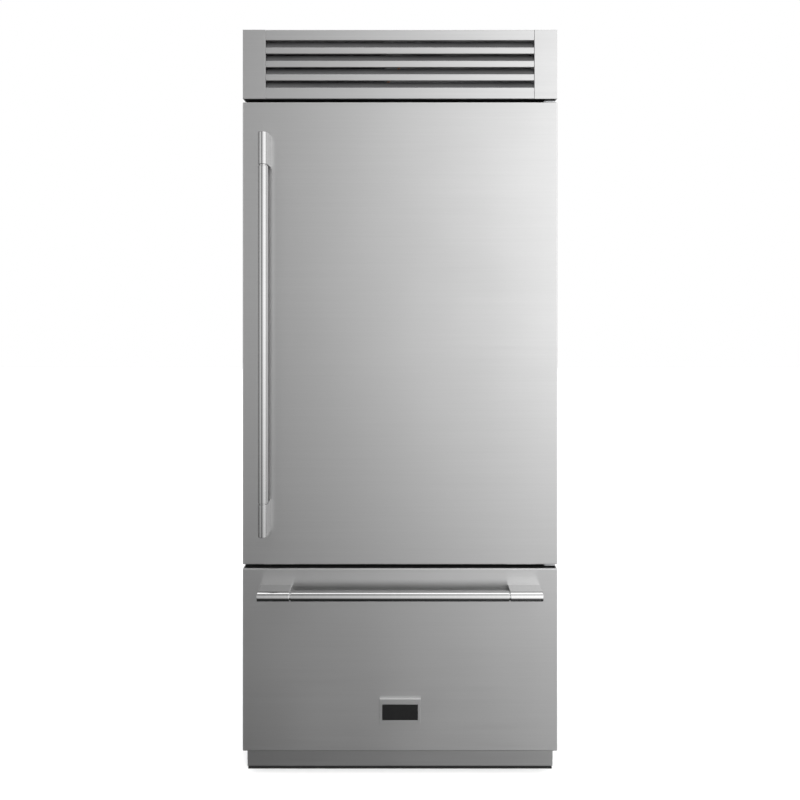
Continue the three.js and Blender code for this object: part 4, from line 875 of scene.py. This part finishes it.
def crispers():
    """Two clear bins with ribs under the food and a grip folded over the front."""
    for node in ("crisper_left", "crisper_right"):
        low, high = plan(node)
        x, front = (low[0] + 0.3, high[0] - 0.3), low[1] + 1.3
        parts = [open_bin(x, (front + 6, high[1] - 0.4), low[2] + 0.2, high[2] - HAIR, 14.0, 2.5, 2.0, 9.0)]
        grip = bent([(front + 8.2, high[2] - 1.4), (front, high[2] - 1.4), (front, high[2] - 13.6)], 3.0)
        parts.append(folded("x", grip, 2.2, x[0] + 12, x[1] - 12))
        centres = np.linspace(x[0] + 40, x[1] - 40, 6)
        parts += bottom_ribs(low[2] + 0.3, 1.3, (low[1] + 20, high[1] - 15), centres, 1.5)
        piece(f"{node}_drawer", parts, "clear_bin", "cabinet", node)


def ceiling_console():
    """A body with a sloped front, and in its underside a lamp lens and a display between two round
    buttons."""
    low, high = plan("ceiling_console")
    front, under, middle = low[1], low[2], (low[1] + high[1]) / 2
    rows = [(167, 99, 12, under + 0.7, 0, middle + 14), (169.4, 101.4, 13, under + 1.8, 0, middle + 13.6),
            (169.9, 103, 14, under + 3, 0, middle + 12), (169.9, 114.9, 14, under + 12.6, 0, middle),
            (169.9, 114.9, 14, high[2] - HAIR, 0, middle)]
    piece("ceiling_console_body", stack("z", rows, 8), "white_liner", "cabinet", "ceiling_console")
    lens = slab("z", (-128, 128), (front + 118, front + 208), (under + HAIR, under + 1.2), 9, 0.5, 8)
    piece("ceiling_lamp_lens", lens, "white_liner", "cabinet", "ceiling_console", LAMP_LENS)
    display = slab("z", (-24, 24), (front + 50, front + 74), (under + 0.3, under + 1), 3, 0.3)
    piece("console_display", display, "black_plastic", "cabinet", "ceiling_console", DARK_GLASS)
    button = [(0, 1), (8, 1), (8, 0.6), (7.4, 0.15), (5.5, 0.1), (4.5, 0.45), (0, 0.6)]
    profile = [(radius, under + rise) for radius, rise in button]
    buttons = [lathe("z", (x, front + 62), profile, 28) for x in (-62, 62)]
    piece("console_buttons", buttons, "white_liner", "cabinet", "ceiling_console")


# ---------------------------------------------------------------- cold and warm side

def coil(name, node, x, y, z, count, depths, levels, extra):
    """Thin upright fins on rows of tubes, with a plate at each end."""
    fin, plate, tube_radius = 0.7, 1.6, 4.0
    at = np.linspace(x[0], x[1], count)
    fins = moved(box("x", y, z, (-fin / 2, fin / 2)), *np.stack([at, at * 0, at * 0], 1))
    parts = [fins] + [part for depth in depths for part in coil_tubes(x, depth, levels, tube_radius)]
    for end in (x[0] + 0.4, x[1] - 0.4):
        parts.append(slab("x", y, z, (end - plate / 2, end + plate / 2), 1.5, 0.3))
    piece(name, parts + extra, "coil_aluminium", "cabinet", node)


def fan_centre(node):
    """Centre x and z of a fan, in the middle of its coil's width, and the place of its blades along y."""
    low, high = plan(node)
    coil_low, coil_high = plan(node.removesuffix("_fan"))
    return ((coil_low[0] + coil_high[0]) / 2, (low[2] + high[2]) / 2), low[1] + 13


def fan_wheel(node, name, radius, chord):
    """A domed hub on its shaft with five cambered blades."""
    centre, axis_y = fan_centre(node)
    rear, blades = plan(node)[1][1], 5
    hub = [(0, -10.8), (9, -10.4), (14, -9), (17, -6), (18, -2), (18, 10.6), (17, 11), (6, 11), (4, 12)]
    profile = [(r, axis_y + depth) for r, depth in hub] + [(4, rear - 0.6), (3.4, rear), (0, rear)]
    parts = [lathe("y", centre, profile, 36)]
    parts += [blade(centre, axis_y, 15, radius - 1.5, chord, k * 2 * np.pi / blades) for k in range(blades)]
    piece(name, parts, "black_plastic", node, node)


def evaporator_cover():
    """The freezer's rear wall: a plain part with two air slots, a ribbed field and a fan opening with its
    guard. A strap behind it holds the fan's shaft."""
    low, high = plan("evaporator_cover")
    y = (low[1] + HAIR, low[1] + 2.9)
    centre, _ = fan_centre("evaporator_fan")
    rib_low, rib_high, rib_pitch, ramp, rib_end = 186, 390, 24.2, 8, 4
    lower, opening = (low[2], rib_low), (low[2] + 12, low[2] + 22)
    parts = [slotted("y", on_side(side, 0, high[0]), lower, on_side(side, 50, 270), opening, y, 4.8)
             for side in (-1, 1)]

    def ribs(x, z):
        """Rounded ribs along z that die out at both ends, and none near the sides."""
        wave = np.clip(0.5 - 0.5 * np.cos(x * 2 * np.pi / rib_pitch), 0, 1) ** 3
        ends = np.clip((z - rib_low - rib_end) / ramp, 0, 1) * np.clip((rib_high - rib_end - z) / ramp, 0, 1)
        return np.where(np.abs(x) < high[0] - 20, wave, 0) * ends

    field_z, rise, counts = (rib_low, rib_high), 0.9, (321, 12)
    parts.append(ripple_sheet("y", (low[0], high[0]), field_z, y[0] + rise, y[1], -rise, ribs, counts))
    parts.append(holed("y", (low[0], high[0]), (rib_high, high[2]), centre, 57, y))
    guard_y = y[0] + 1.4
    parts += [round_tube("y", centre, guard_y, radius, 1.1, 49) for radius in (12, 24, 36, 48)]
    reach = np.array([11, 35, 58.5])
    for angle in np.arange(6) * np.pi / 3:
        spoke = across("y", centre[0] + reach * math.cos(angle), centre[1] + reach * math.sin(angle), guard_y)
        parts.append(tube(spoke, 1.2, 8))
    parts.append(box("z", (low[0], high[0]), (y[0], y[0] + 10), (high[2] - 2.9, high[2])))
    piece("freezer_back_cover", parts, "white_liner", "cabinet", "evaporator_cover")

    half_strap, foot, top, back = 9, centre[1] - 67, high[2] - 0.2, high[1] - 13.9
    strap_x, foot_y = (-half_strap, half_strap), (y[1] - 0.4, back + 2.8)
    strap = [slab("y", strap_x, (foot, top), (back, back + 2.8), 2, 0.5)]
    strap += [slab("z", strap_x, foot_y, (z, z + 2.9), 1, 0.5) for z in (foot + HAIR, top - 2.9)]
    boss = [(0, 0.1), (4.4, 0.1), (4.4, 2.4), (9, 2.4), (9, 12.9), (8.2, 13.7), (0, 13.7)]
    strap.append(lathe("y", centre, [(radius, back + depth) for radius, depth in boss], 24))
    piece("evaporator_fan_strap", strap, "zinc_sheet", "cabinet", "evaporator_cover")


def evaporator():
    """The freezer's coil, with a flange at each end that reaches the liner."""
    low, high = plan("evaporator")
    y, z, tube_rows = (low[1] + 0.2, low[1] + 39.8), (low[2] + 0.2, high[2] - 0.2), (low[1] + 10, low[1] + 30)
    flange_y = (low[1] + 22, high[1] - HAIR)
    flanges = [slab("x", flange_y, z, (x, x + 1.6), 1.0, 0.4) for x in (low[0] + HAIR, high[0] - 1.7)]
    coil("evaporator_coil", "evaporator", (low[0] + 12, high[0] - 12), y, z, 84, tube_rows,
         np.linspace(low[2] + 20, high[2] - 20, 6), flanges)


def condenser():
    """The warm coil on its feet, and behind it a shroud with a round mouth, a tray and the fan's strap."""
    low, high = plan("condenser")
    left, right, floor, top = low[0], high[0], low[2], high[2]
    y, tube_rows = (low[1] + 0.2, low[1] + 41.8), (low[1] + 11, low[1] + 31)
    feet = [box("x", y, (floor + HAIR, floor + 13), (x, x + 1.6)) for x in (left + 8.8, right - 10.4)]
    coil("condenser_coil", "condenser", (left + 10, right - 10), y, (floor + 12.2, top - 0.2), 110, tube_rows,
         np.linspace(floor + 26, top - 14, 6), feet)
    centre, _ = fan_centre("condenser_fan")
    shroud_y, strap_y, mouth, half_strap = high[1] - 49.9, high[1] - 13.9, 77, 9
    strap_x, strap_span = (centre[0] - half_strap, centre[0] + half_strap), (strap_y, strap_y + 2.8)
    plate_z, plate_span = (floor + HAIR, top - HAIR), (shroud_y, shroud_y + 1.8)
    shroud = [holed("y", (left, right), plate_z, centre, mouth, plate_span),
              round_tube("y", centre, shroud_y + 2.5, mouth + 0.5, 1.6, 65),
              slab("z", (left, right), (low[1] + HAIR, strap_span[1]), (floor + 0.05, floor + 1.9), 1.0, 0.4),
              slab("y", strap_x, (floor + 0.2, top - 0.2), strap_span, 1.5, 0.5)]
    boss = [(0, 2.3), (9, 2.3), (9, 12.9), (8.2, 13.7), (4.4, 13.7), (0, 13.7)]
    shroud.append(lathe("y", centre, [(radius, strap_y + depth) for radius, depth in boss], 24))
    piece("condenser_shroud", shroud, "zinc_sheet", "cabinet", "condenser")


def compressor():
    """A can with a seam and a domed top, its foot plate on four mounts, its outlet stub and its terminal
    cover."""
    low, high = plan("compressor")
    floor, half_foot, radius = low[2], 95, 82.6
    x, y = high[0] - half_foot, (low[1] + high[1]) / 2
    can = [(0, 5), (70, 5), (79, 8), (radius, 16), (radius, 57), (84, 58.5), (84, 64), (radius, 65.5),
           (radius, 98)]
    dome = np.linspace(0, np.pi / 2, 12)[1:-1]
    can += [(radius * math.cos(t) ** 0.72, 98 + 61.8 * math.sin(t)) for t in dome] + [(9, 159.9), (0, 159.9)]
    mount = [(0, 4), (12, 4), (12.4, 8), (10, 10), (12.4, 12), (12, 16), (4, 16), (4, 19), (0, 19)]
    reach = half_foot - 0.2
    foot_x, foot_y = (x - reach, x + reach), (y - reach, y + reach)
    parts = [lathe("z", (x, y), [(r, floor + rise) for r, rise in can], 64),
             slab("z", foot_x, foot_y, (floor + HAIR, floor + 4.2), 16, 0.8, 8)]
    parts += [lathe("z", (x + a * 80, y + b * 80), [(r, floor + rise) for r, rise in mount], 20)
              for a in (-1, 1) for b in (-1, 1)]
    stub = floor + 120
    parts.append(tube(bent([(x - 70, y, stub), (x - 100, y, stub), (low[0], y, stub)], 4), 5.0, 16))
    piece("compressor_can", parts, "black_metal", "cabinet", "compressor")
    cover = slab("y", (x - 30, x + 30), (floor + 30, floor + 92), (y + 62, y + 94.6), 8, 3.0, 8)
    piece("compressor_terminal_cover", cover, "black_plastic", "cabinet", "compressor")


def condenser_pipe():
    """The pipe from the compressor's stub, round the condenser's shroud and into the coil's end."""
    route = np.array([(-23.5, 400, 2077), (-42, 400, 2077), (-70, 372, 2077), (1, 173, 2112.3),
                      (1, 127, 2112.3), (-27, 99, 2112.3), (-44.8, 99, 2112.3)])
    pipe = tube(curve_through(route, 14), 4.0, 14)
    piece("condenser_pipe", pipe, "copper_pipe", "cabinet", "refrigerant_pipe")


def control_box():
    """A case with a recessed power inlet and its three pins, and a screw head near each corner."""
    low, high = plan("control_box")
    x, z = (low[0] + high[0]) / 2, (low[2] + high[2]) / 2
    back, inlet = high[1], low[2] + 73.5
    half = ((high[0] - low[0]) / 2, (high[2] - low[2]) / 2)
    rows = edge_rows(half, 3.0, low[1], back, 1.2, (x, z))
    inlet_u, inlet_v, edge = 24, 13.5, 1.2
    rows += [(inlet_u + edge, inlet_v + edge, 4.5, back, x, inlet)]
    rows += [(inlet_u, inlet_v, 4, back - depth, x, inlet) for depth in (0.6, 16)]
    parts = [stack("y", rows, 6)]
    for pin in (x - 13, x, x + 13):
        height = (inlet - 4.5, inlet + 2.5)
        parts.append(slab("y", (pin - 1, pin + 1), height, (back - 16.5, back - 3), 0.6, 0.4, 3))
    head = [(0, back - 0.3), (3.6, back - 0.3), (3.2, back), (0, back)]
    parts += [lathe("y", (screw_x, screw_z), head, 14) for screw_z in (low[2] + 22, high[2] - 12)
              for screw_x in (low[0] + 12, high[0] - 12)]
    piece("control_box_case", parts, "grey_sheet", "cabinet", "control_box")


def curve_through(points, steps):
    """A smooth curve through points: on each stretch a cubic with its slopes from the neighbouring
    points."""
    gaps = np.sqrt(np.linalg.norm(np.diff(points, axis=0), axis=1))
    at = np.concatenate([[0], np.cumsum(gaps)])
    slope = np.gradient(points, at, axis=0)
    t = np.linspace(0, 1, steps, endpoint=False)[:, None]
    line = []
    for k in range(len(points) - 1):
        span = at[k + 1] - at[k]
        line.append((2 * t ** 3 - 3 * t ** 2 + 1) * points[k] + (t ** 3 - 2 * t ** 2 + t) * span * slope[k]
                    + (3 * t ** 2 - 2 * t ** 3) * points[k + 1] + (t ** 3 - t ** 2) * span * slope[k + 1])
    return np.concatenate(line + [points[-1:]])


# ---------------------------------------------------------------- hinges, feet and rollers

def legs():
    """A threaded rod on a round foot with a nut. The thread is a wave round the rod that climbs one pitch
    a turn, and the rod tapers at its end."""
    pitch, core, thread, top = 1.75, 5.55, 0.45, 66.2
    for node in ("leveling_leg_left", "leveling_leg_right"):
        low, high = plan(node)
        centre = (low[:2] + high[:2]) / 2
        z = np.linspace(8, 65, 190)[:, None]
        angle = np.arange(24) * 2 * np.pi / 24
        radius = core + thread * np.cos(2 * np.pi * z / pitch - angle)
        radius = radius * np.clip((top - z) / 1.5, 0.7, 1)
        rod = skin(across("z", centre[0] + radius * np.cos(angle), centre[1] + radius * np.sin(angle), z))
        foot = lathe("z", centre, [(0, 1.2), (20.4, 1.2), (21.4, 0), (22, 0.6), (22, 3.4), (21.2, 4.2),
                                   (13, 6.6), (11, 7.9), (0, 8)], 40)
        nut = lathe("z", centre, [(0, 8), (9.6, 8), (10, 8.4), (10, 13.6), (9.6, 14), (0, 14)], 6)
        piece(f"{node}_screw", [rod, foot, nut], "zinc_sheet", node, node)


def rollers():
    """Wheels with a rounded tread and an axle, turned from one half and its mirror image."""
    for node in ("roller_left", "roller_right"):
        low, high = plan(node)
        middle = (low + high) / 2
        half = [(0, 20), (4.6, 20), (5, 19.6), (5, 11.5), (9, 11.2), (10, 8), (18, 8), (19.5, 10.6),
                (22.5, 11), (24.2, 10.3), (25, 8.6)]
        profile = [(r, middle[0] - x) for r, x in half] + [(r, middle[0] + x) for r, x in half[::-1]]
        piece(f"{node}_wheel", lathe("x", middle[1:], profile, 48), "black_plastic", node, node)


def hinge(node, name, pin, arm, flange):
    """A rounded arm with a flange on the frame, two screws and the pin. The spans of pin, arm and flange are
    heights above the hinge's lowest point."""
    low, high = plan(node)
    half, middle = rectangle((low[0] + HAIR, high[0] - HAIR), (low[1] + HAIR, high[1] - HAIR))
    pin_x, pin_y, pin_radius = 436.0, 20.0, 5
    bottom, top = low[2] + pin[0], low[2] + pin[1]
    parts = [stack("z", edge_rows(half, 8.0, low[2] + arm[0], low[2] + arm[1], 0.8, middle), 8)]
    flange_z = (low[2] + flange[0], low[2] + flange[1])
    face = high[1] - 2.9
    parts.append(slab("y", (low[0] + HAIR, high[0] - HAIR), flange_z, (face, high[1] - HAIR), 2.0, 0.5))
    profile = [(0, bottom), (pin_radius - 0.8, bottom), (pin_radius, bottom + 0.8)]
    profile += [(pin_radius, top - 0.8), (pin_radius - 0.8, top), (0, top)]
    parts.append(lathe("z", (pin_x, pin_y), profile, 32))
    for x in (middle[0] - 10, middle[0] + 10):
        parts += hex_screw("y", (x, sum(flange_z) / 2), face, -1)
    piece(name, parts, "zinc_sheet", "cabinet", node)


# ---------------------------------------------------------------- door and drawer insides

def panel_sheet(low, high):
    """Rows of the flat sheet that closes a panel's back, with a small step at its rear edge."""
    half, middle = rectangle((low[0], high[0]), (low[2], high[2]))
    back = low[1] + 3
    return [(half[0] - inset, half[1] - HAIR - inset, 3, y, *middle)
            for inset, y in ((HAIR, low[1] + 0.05), (HAIR, back - 0.5), (0.6, back))]


def door_liner():
    """The door's back: a sheet with a raised dyke, pegs for the bins, and the dairy box with its lid's
    ears."""
    low, high = plan("door_liner")
    back = low[1] + 3
    liner_low, liner_high = plan("fridge_liner")
    wall = liner_high[0] - CAVITY_HALF
    middle = (liner_low[2] + liner_high[2]) / 2
    outer = (CAVITY_HALF - 16, (liner_high[2] - liner_low[2]) / 2 - wall - 13)
    inner = (outer[0] - 14, outer[1] - 14)
    outside = [(-3, 0), (-0.9, 0.9), (0, 3), (0.9, 45), (1.7, 48), (3.4, 49.7), (5, 50)]
    inside = [(4.5, 50), (2.8, 49.7), (1.0, 48), (0.3, 45), (0.05, 3), (-0.8, 0.8), (-3, 0)]
    rows = panel_sheet(low, high)
    rows += [(outer[0] - i, outer[1] - i, 9, back + depth, 0, middle) for i, depth in outside]
    rows += [(inner[0] + i, inner[1] + i, 6, back + depth, 0, middle) for i, depth in inside]
    parts = [stack("y", rows, 8)]
    for bottom in (plan(f"door_bin_{k}")[0][2] for k in (1, 2, 3)):
        for side in (-1, 1):
            peg = on_side(side, inner[0] - 8, inner[0] + 0.2)
            parts.append(slab("z", peg, (back, back + 40), (bottom - 6, bottom - HAIR), 1.5, 0.8))
    lid_low, lid_high = plan("dairy_lid")
    box_half, box_top = lid_high[0] - 3, lid_low[2] - 2
    parts.append(open_bin((-box_half, box_half), (back, high[1]), box_top - 50, box_top, 9.0, 3.0, 0.6, 7.0))
    for side in (-1, 1):
        ear = on_side(side, box_half + 0.3, box_half + 3.3)
        parts.append(slab("x", (back, back + 17), (lid_high[2] - 16, lid_high[2]), ear, 4.0, 0.3, 6))
    piece("door_inner_liner", parts, "white_liner", "fridge_door", "door_liner")


def door_bins():
    """Clear bins with a thick front rail and ribs under the bottles."""
    for k in (1, 2, 3):
        low, high = plan(f"door_bin_{k}")
        bottom, front = low[2], high[1]
        x, y = (low[0] + 0.2, high[0] - 0.2), (low[1] + 0.3, front - 0.2)
        parts = [open_bin(x, y, bottom + HAIR, high[2] - HAIR, 13.0, 2.5, 1.2, 9.0, banded=True),
                 slab("x", (front - 5.4, front - HAIR), (high[2] - 16, high[2]), (-352, 352), 2.2, 1.8)]
        parts += bottom_ribs(bottom + 0.2, 2, (52, 130), np.linspace(-300, 300, 9), 1.2)
        piece(f"bottle_bin_{k}", parts, "clear_bin", "fridge_door", f"door_bin_{k}")


def dairy_cover():
    """A clear lid folded over the box's top and front, with a grip below, and a barrel and a pin at its
    rear."""
    low, high = plan("dairy_lid")
    pin, width = (low[1] + 5, high[2] - 5), high[0] - 3.4
    top, front = high[2] - 1.4, high[1] - 1.6
    line = bent([(pin[0] + 1, top), (front, top), (front, low[2] + 0.2)], 10.0, 7)
    parts = [folded("x", line, 2.8, -width, width)]
    for radius, reach, sides in ((5, width + HAIR, 24), (3, high[0], 20)):
        parts.append(lathe("x", pin, [(0, -reach), (radius, -reach), (radius, reach), (0, reach)], sides))
    grip_y, grip_x = (high[1] - 6.8, high[1] - HAIR), (7 - high[0], high[0] - 7)
    parts.append(slab("x", grip_y, (low[2] + HAIR, low[2] + 4), grip_x, 1.6, 1.2))
    piece("dairy_cover", parts, "clear_bin", "dairy_lid", "dairy_lid")


def drawer_liner():
    """The drawer front's back: a sheet with a raised pad."""
    low, high = plan("drawer_liner")
    back = low[1] + 3
    liner_low, liner_high = plan("freezer_liner")
    wall = liner_high[0] - CAVITY_HALF
    pad_low, pad_high = liner_low[2] + wall + 13, plan("drawer_frame")[0][2] - 20
    pad_half = CAVITY_HALF - 36
    half, middle = rectangle((-pad_half, pad_half), (pad_low, pad_high))
    pad = [(-2.5, 0), (-0.7, 0.8), (0, 2.5), (0.6, 9), (1.6, 11), (3.2, 11.8), (5, 12)]
    rows = panel_sheet(low, high)
    rows += [(half[0] - i, half[1] - i, 12, back + depth, *middle) for i, depth in pad]
    piece("drawer_inner_liner", stack("y", rows, 8), "white_liner", "freezer_drawer", "drawer_liner")


def freezer_bins():
    """The clear basket with its rim and upright ribs, and the tray above it."""
    low, high = plan("freezer_basket")
    front, rear, side_in, rib_z = low[1], high[1], 354.0, (low[2] + 20, high[2] - 15)
    y = (front + 0.2, rear - 0.2)
    parts = [open_bin((-side_in, side_in), y, low[2] + 0.2, high[2] - 3, 16.0, 3.0, 1.5, 12.0)]
    rim = [(0.6, -3.6), (0, -3), (0, -0.6), (0.6, 0), (16.4, 0), (17, -0.6), (17, -3.6)]
    parts.append(hoop("z", (low[0] + HAIR, high[0] - HAIR), (front + HAIR, rear - HAIR),
                      [(inset, high[2] + rise) for inset, rise in rim], 10.0, 7))
    for x in np.linspace(-330, 330, 23):
        parts.append(slab("x", (front + 0.5, front + 2.5), rib_z, (x - 1.5, x + 1.5), 0.8, 0.6, 2))
    for place in np.linspace(front + 28, rear - 25, 13):
        for side in (-1, 1):
            rib = on_side(side, side_in - 1.5, side_in + 0.4)
            parts.append(slab("x", (place - 1.5, place + 1.5), rib_z, rib, 0.8, 0.3, 2))
    piece("lower_basket", parts, "clear_bin", "freezer_drawer", "freezer_basket")

    low, high = plan("freezer_tray")
    x, y = (low[0] + HAIR, high[0] - HAIR), (low[1] + 0.2, high[1] - 0.2)
    parts = [open_bin(x, y, low[2] + HAIR, high[2] - HAIR, 12.0, 3.0, 1.5, 9.0, banded=True)]
    parts += bottom_ribs(low[2] + 0.2, 2.1, (low[1] + 10, high[1] - 10), np.linspace(-320, 320, 9), 1.5)
    piece("upper_tray", parts, "clear_bin", "freezer_tray", "freezer_tray")


# ---------------------------------------------------------------- studio

def surround():
    """The room that metal mirrors: a bright wall to the right of the camera, a narrow one on the left, a
    lit ceiling and a dark floor. Each is a smooth step of the direction's azimuth or height. The camera
    itself sees white."""
    room, right_wall, left_wall, lit_ceiling = 0.42, 1.80, 0.9, 1.5
    world = bpy.data.worlds.new("studio")
    bpy.context.scene.world = world
    world.use_nodes = True
    shade = world.node_tree.nodes["Background"]
    shade.inputs["Color"].default_value = (1, 1, 1, 1)
    place = add(world, "TexCoord")
    parts = add(world, "SeparateXYZ", Vector=place.outputs["Generated"])
    forward = add(world, "Math", operation="MULTIPLY", i0=parts.outputs["Y"], i1=-1.0).outputs[0]
    azimuth = add(world, "Math", operation="ARCTAN2", i0=parts.outputs["X"], i1=forward).outputs[0]

    def step(value, start, stop, low, high):
        ramp = add(world, "MapRange", interpolation_type="SMOOTHSTEP", Value=value, From_Min=start,
                   From_Max=stop, To_Min=low, To_Max=high)
        return ramp.outputs[0]

    def combined(operation, first, second):
        return add(world, "Math", operation=operation, i0=first, i1=second).outputs[0]

    def wall(inner, outer, level):
        """Bright between the inner azimuths in degrees, fading out to the outer ones."""
        rise = step(azimuth, math.radians(outer[0]), math.radians(inner[0]), 0.0, level)
        fall = step(azimuth, math.radians(inner[1]), math.radians(outer[1]), 1.0, 0.0)
        return combined("MULTIPLY", rise, fall)

    walls = combined("ADD", wall((36, 60), (-25, 105), right_wall), wall((-60, -44), (-80, -24), left_wall))
    level = combined("ADD", walls, room)
    height = parts.outputs["Z"]
    lower = step(height, -0.75, 0.02, 0.03, 1.0)
    upper = step(height, 0.32, 0.85, 1.0, 0.42)
    ceiling = step(height, 0.90, 0.97, 0.0, lit_ceiling)
    seen = combined("ADD", combined("MULTIPLY", combined("MULTIPLY", level, lower), upper), ceiling)
    path = add(world, "LightPath")
    final = add(world, "Mix", data_type="FLOAT", i0=path.outputs["Is Camera Ray"], i2=seen)
    final.inputs[3].default_value = 1.0
    link(world, final.outputs[0], shade.inputs["Strength"])


def ground():
    """A pale floor that metal doesn't mirror."""
    reach = 9
    mesh = bpy.data.meshes.new("floor")
    mesh.from_pydata([(-reach, -reach, 0), (reach, -reach, 0), (reach, reach, 0), (-reach, reach, 0)], [],
                     [(0, 1, 2, 3)])
    material, surface = shader("pale_floor", (0.9, 0.9, 0.9), 0.9)
    cloud = object_noise(material, (0.7, 0.7, 0.7), 2.0)
    tint(material, cloud, (0.89, 0.89, 0.89), (0.91, 0.91, 0.91), surface.inputs["Base Color"])
    mesh.materials.append(material)
    plane = bpy.data.objects.new("floor", mesh)
    plane.visible_glossy = False
    bpy.context.scene.collection.objects.link(plane)


def lights():
    """Two soft boxes that face the middle of the front, and wide daylight from above the camera."""
    target = np.array([0, 0, 0.9])
    for name, place, size, power in (("ceiling_light", (0.3, -1.6, 5.2), (5.0, 4.0), 110),
                                     ("room_light", (-0.5, 3.5, 4.2), (4.0, 3.0), 50)):
        light = bpy.data.lights.new(name, "AREA")
        light.shape = "RECTANGLE"
        light.size, light.size_y = size
        light.energy = power
        lamp = bpy.data.objects.new(name, light)
        lamp.location = place
        way = target - np.array(place)
        tilt, turn = math.atan2(math.hypot(way[0], way[1]), -way[2]), math.atan2(-way[0], way[1])
        lamp.rotation_euler = (tilt, 0, turn)
        lamp.visible_glossy = False
        bpy.context.scene.collection.objects.link(lamp)
    daylight = bpy.data.lights.new("daylight", "SUN")
    daylight.energy = 2.6
    daylight.angle = math.radians(50)
    sky = bpy.data.objects.new("daylight", daylight)
    sky.rotation_euler = (math.radians(38), 0, 0)
    sky.visible_glossy = False
    bpy.context.scene.collection.objects.link(sky)


def photo_camera():
    """The photograph's camera: level, in front of the door's middle, with its frame shifted down."""
    distance, height, sensor, focal_length, shift = 1.763, 1.410, 36, 27.76, -0.1375
    camera = bpy.data.cameras.new("camera")
    camera.lens = focal_length
    camera.sensor_width = sensor
    camera.shift_y = shift
    eye = bpy.data.objects.new("camera", camera)
    eye.location = (0, DOOR_FACE - distance, height)
    eye.rotation_euler = (math.pi / 2, 0, 0)
    bpy.context.scene.collection.objects.link(eye)
    bpy.context.scene.camera = eye
    bpy.context.scene.view_settings.view_transform = "Standard"


ground()
surround()
lights()
photo_camera()

pan("door_shell", "door_front", "fridge_door")
pan("drawer_shell", "drawer_front", "freezer_drawer")
toe_panel()
grille()
gap_shade_caps()
handles()
badge()
gasket("door_gasket", "door_seal", "fridge_door")
gasket("drawer_gasket", "drawer_seal", "freezer_drawer")
side_skins()
rear_and_top_skins()

liner_shell("fridge_liner", "fridge_inner_liner", cold_air_duct())
shelves()
crispers()
ceiling_console()
liner_shell("freezer_liner", "freezer_inner_liner")
evaporator_cover()
evaporator()

condenser()
compressor()
condenser_pipe()
control_box()
legs()
rollers()
hinge("hinge_top", "upper_hinge", pin=(0, 25.5), arm=(20.6, 25.4), flange=(8.5, 25.4))
hinge("hinge_bottom", "lower_hinge", pin=(6, 32), arm=(6.1, 10.9), flange=(0.1, 16.9))
fan_wheel("condenser_fan", "condenser_fan_wheel", 72.0, 44)
fan_wheel("evaporator_fan", "evaporator_fan_wheel", 52.0, 34)
door_liner()
door_bins()
dairy_cover()
drawer_liner()
freezer_bins()
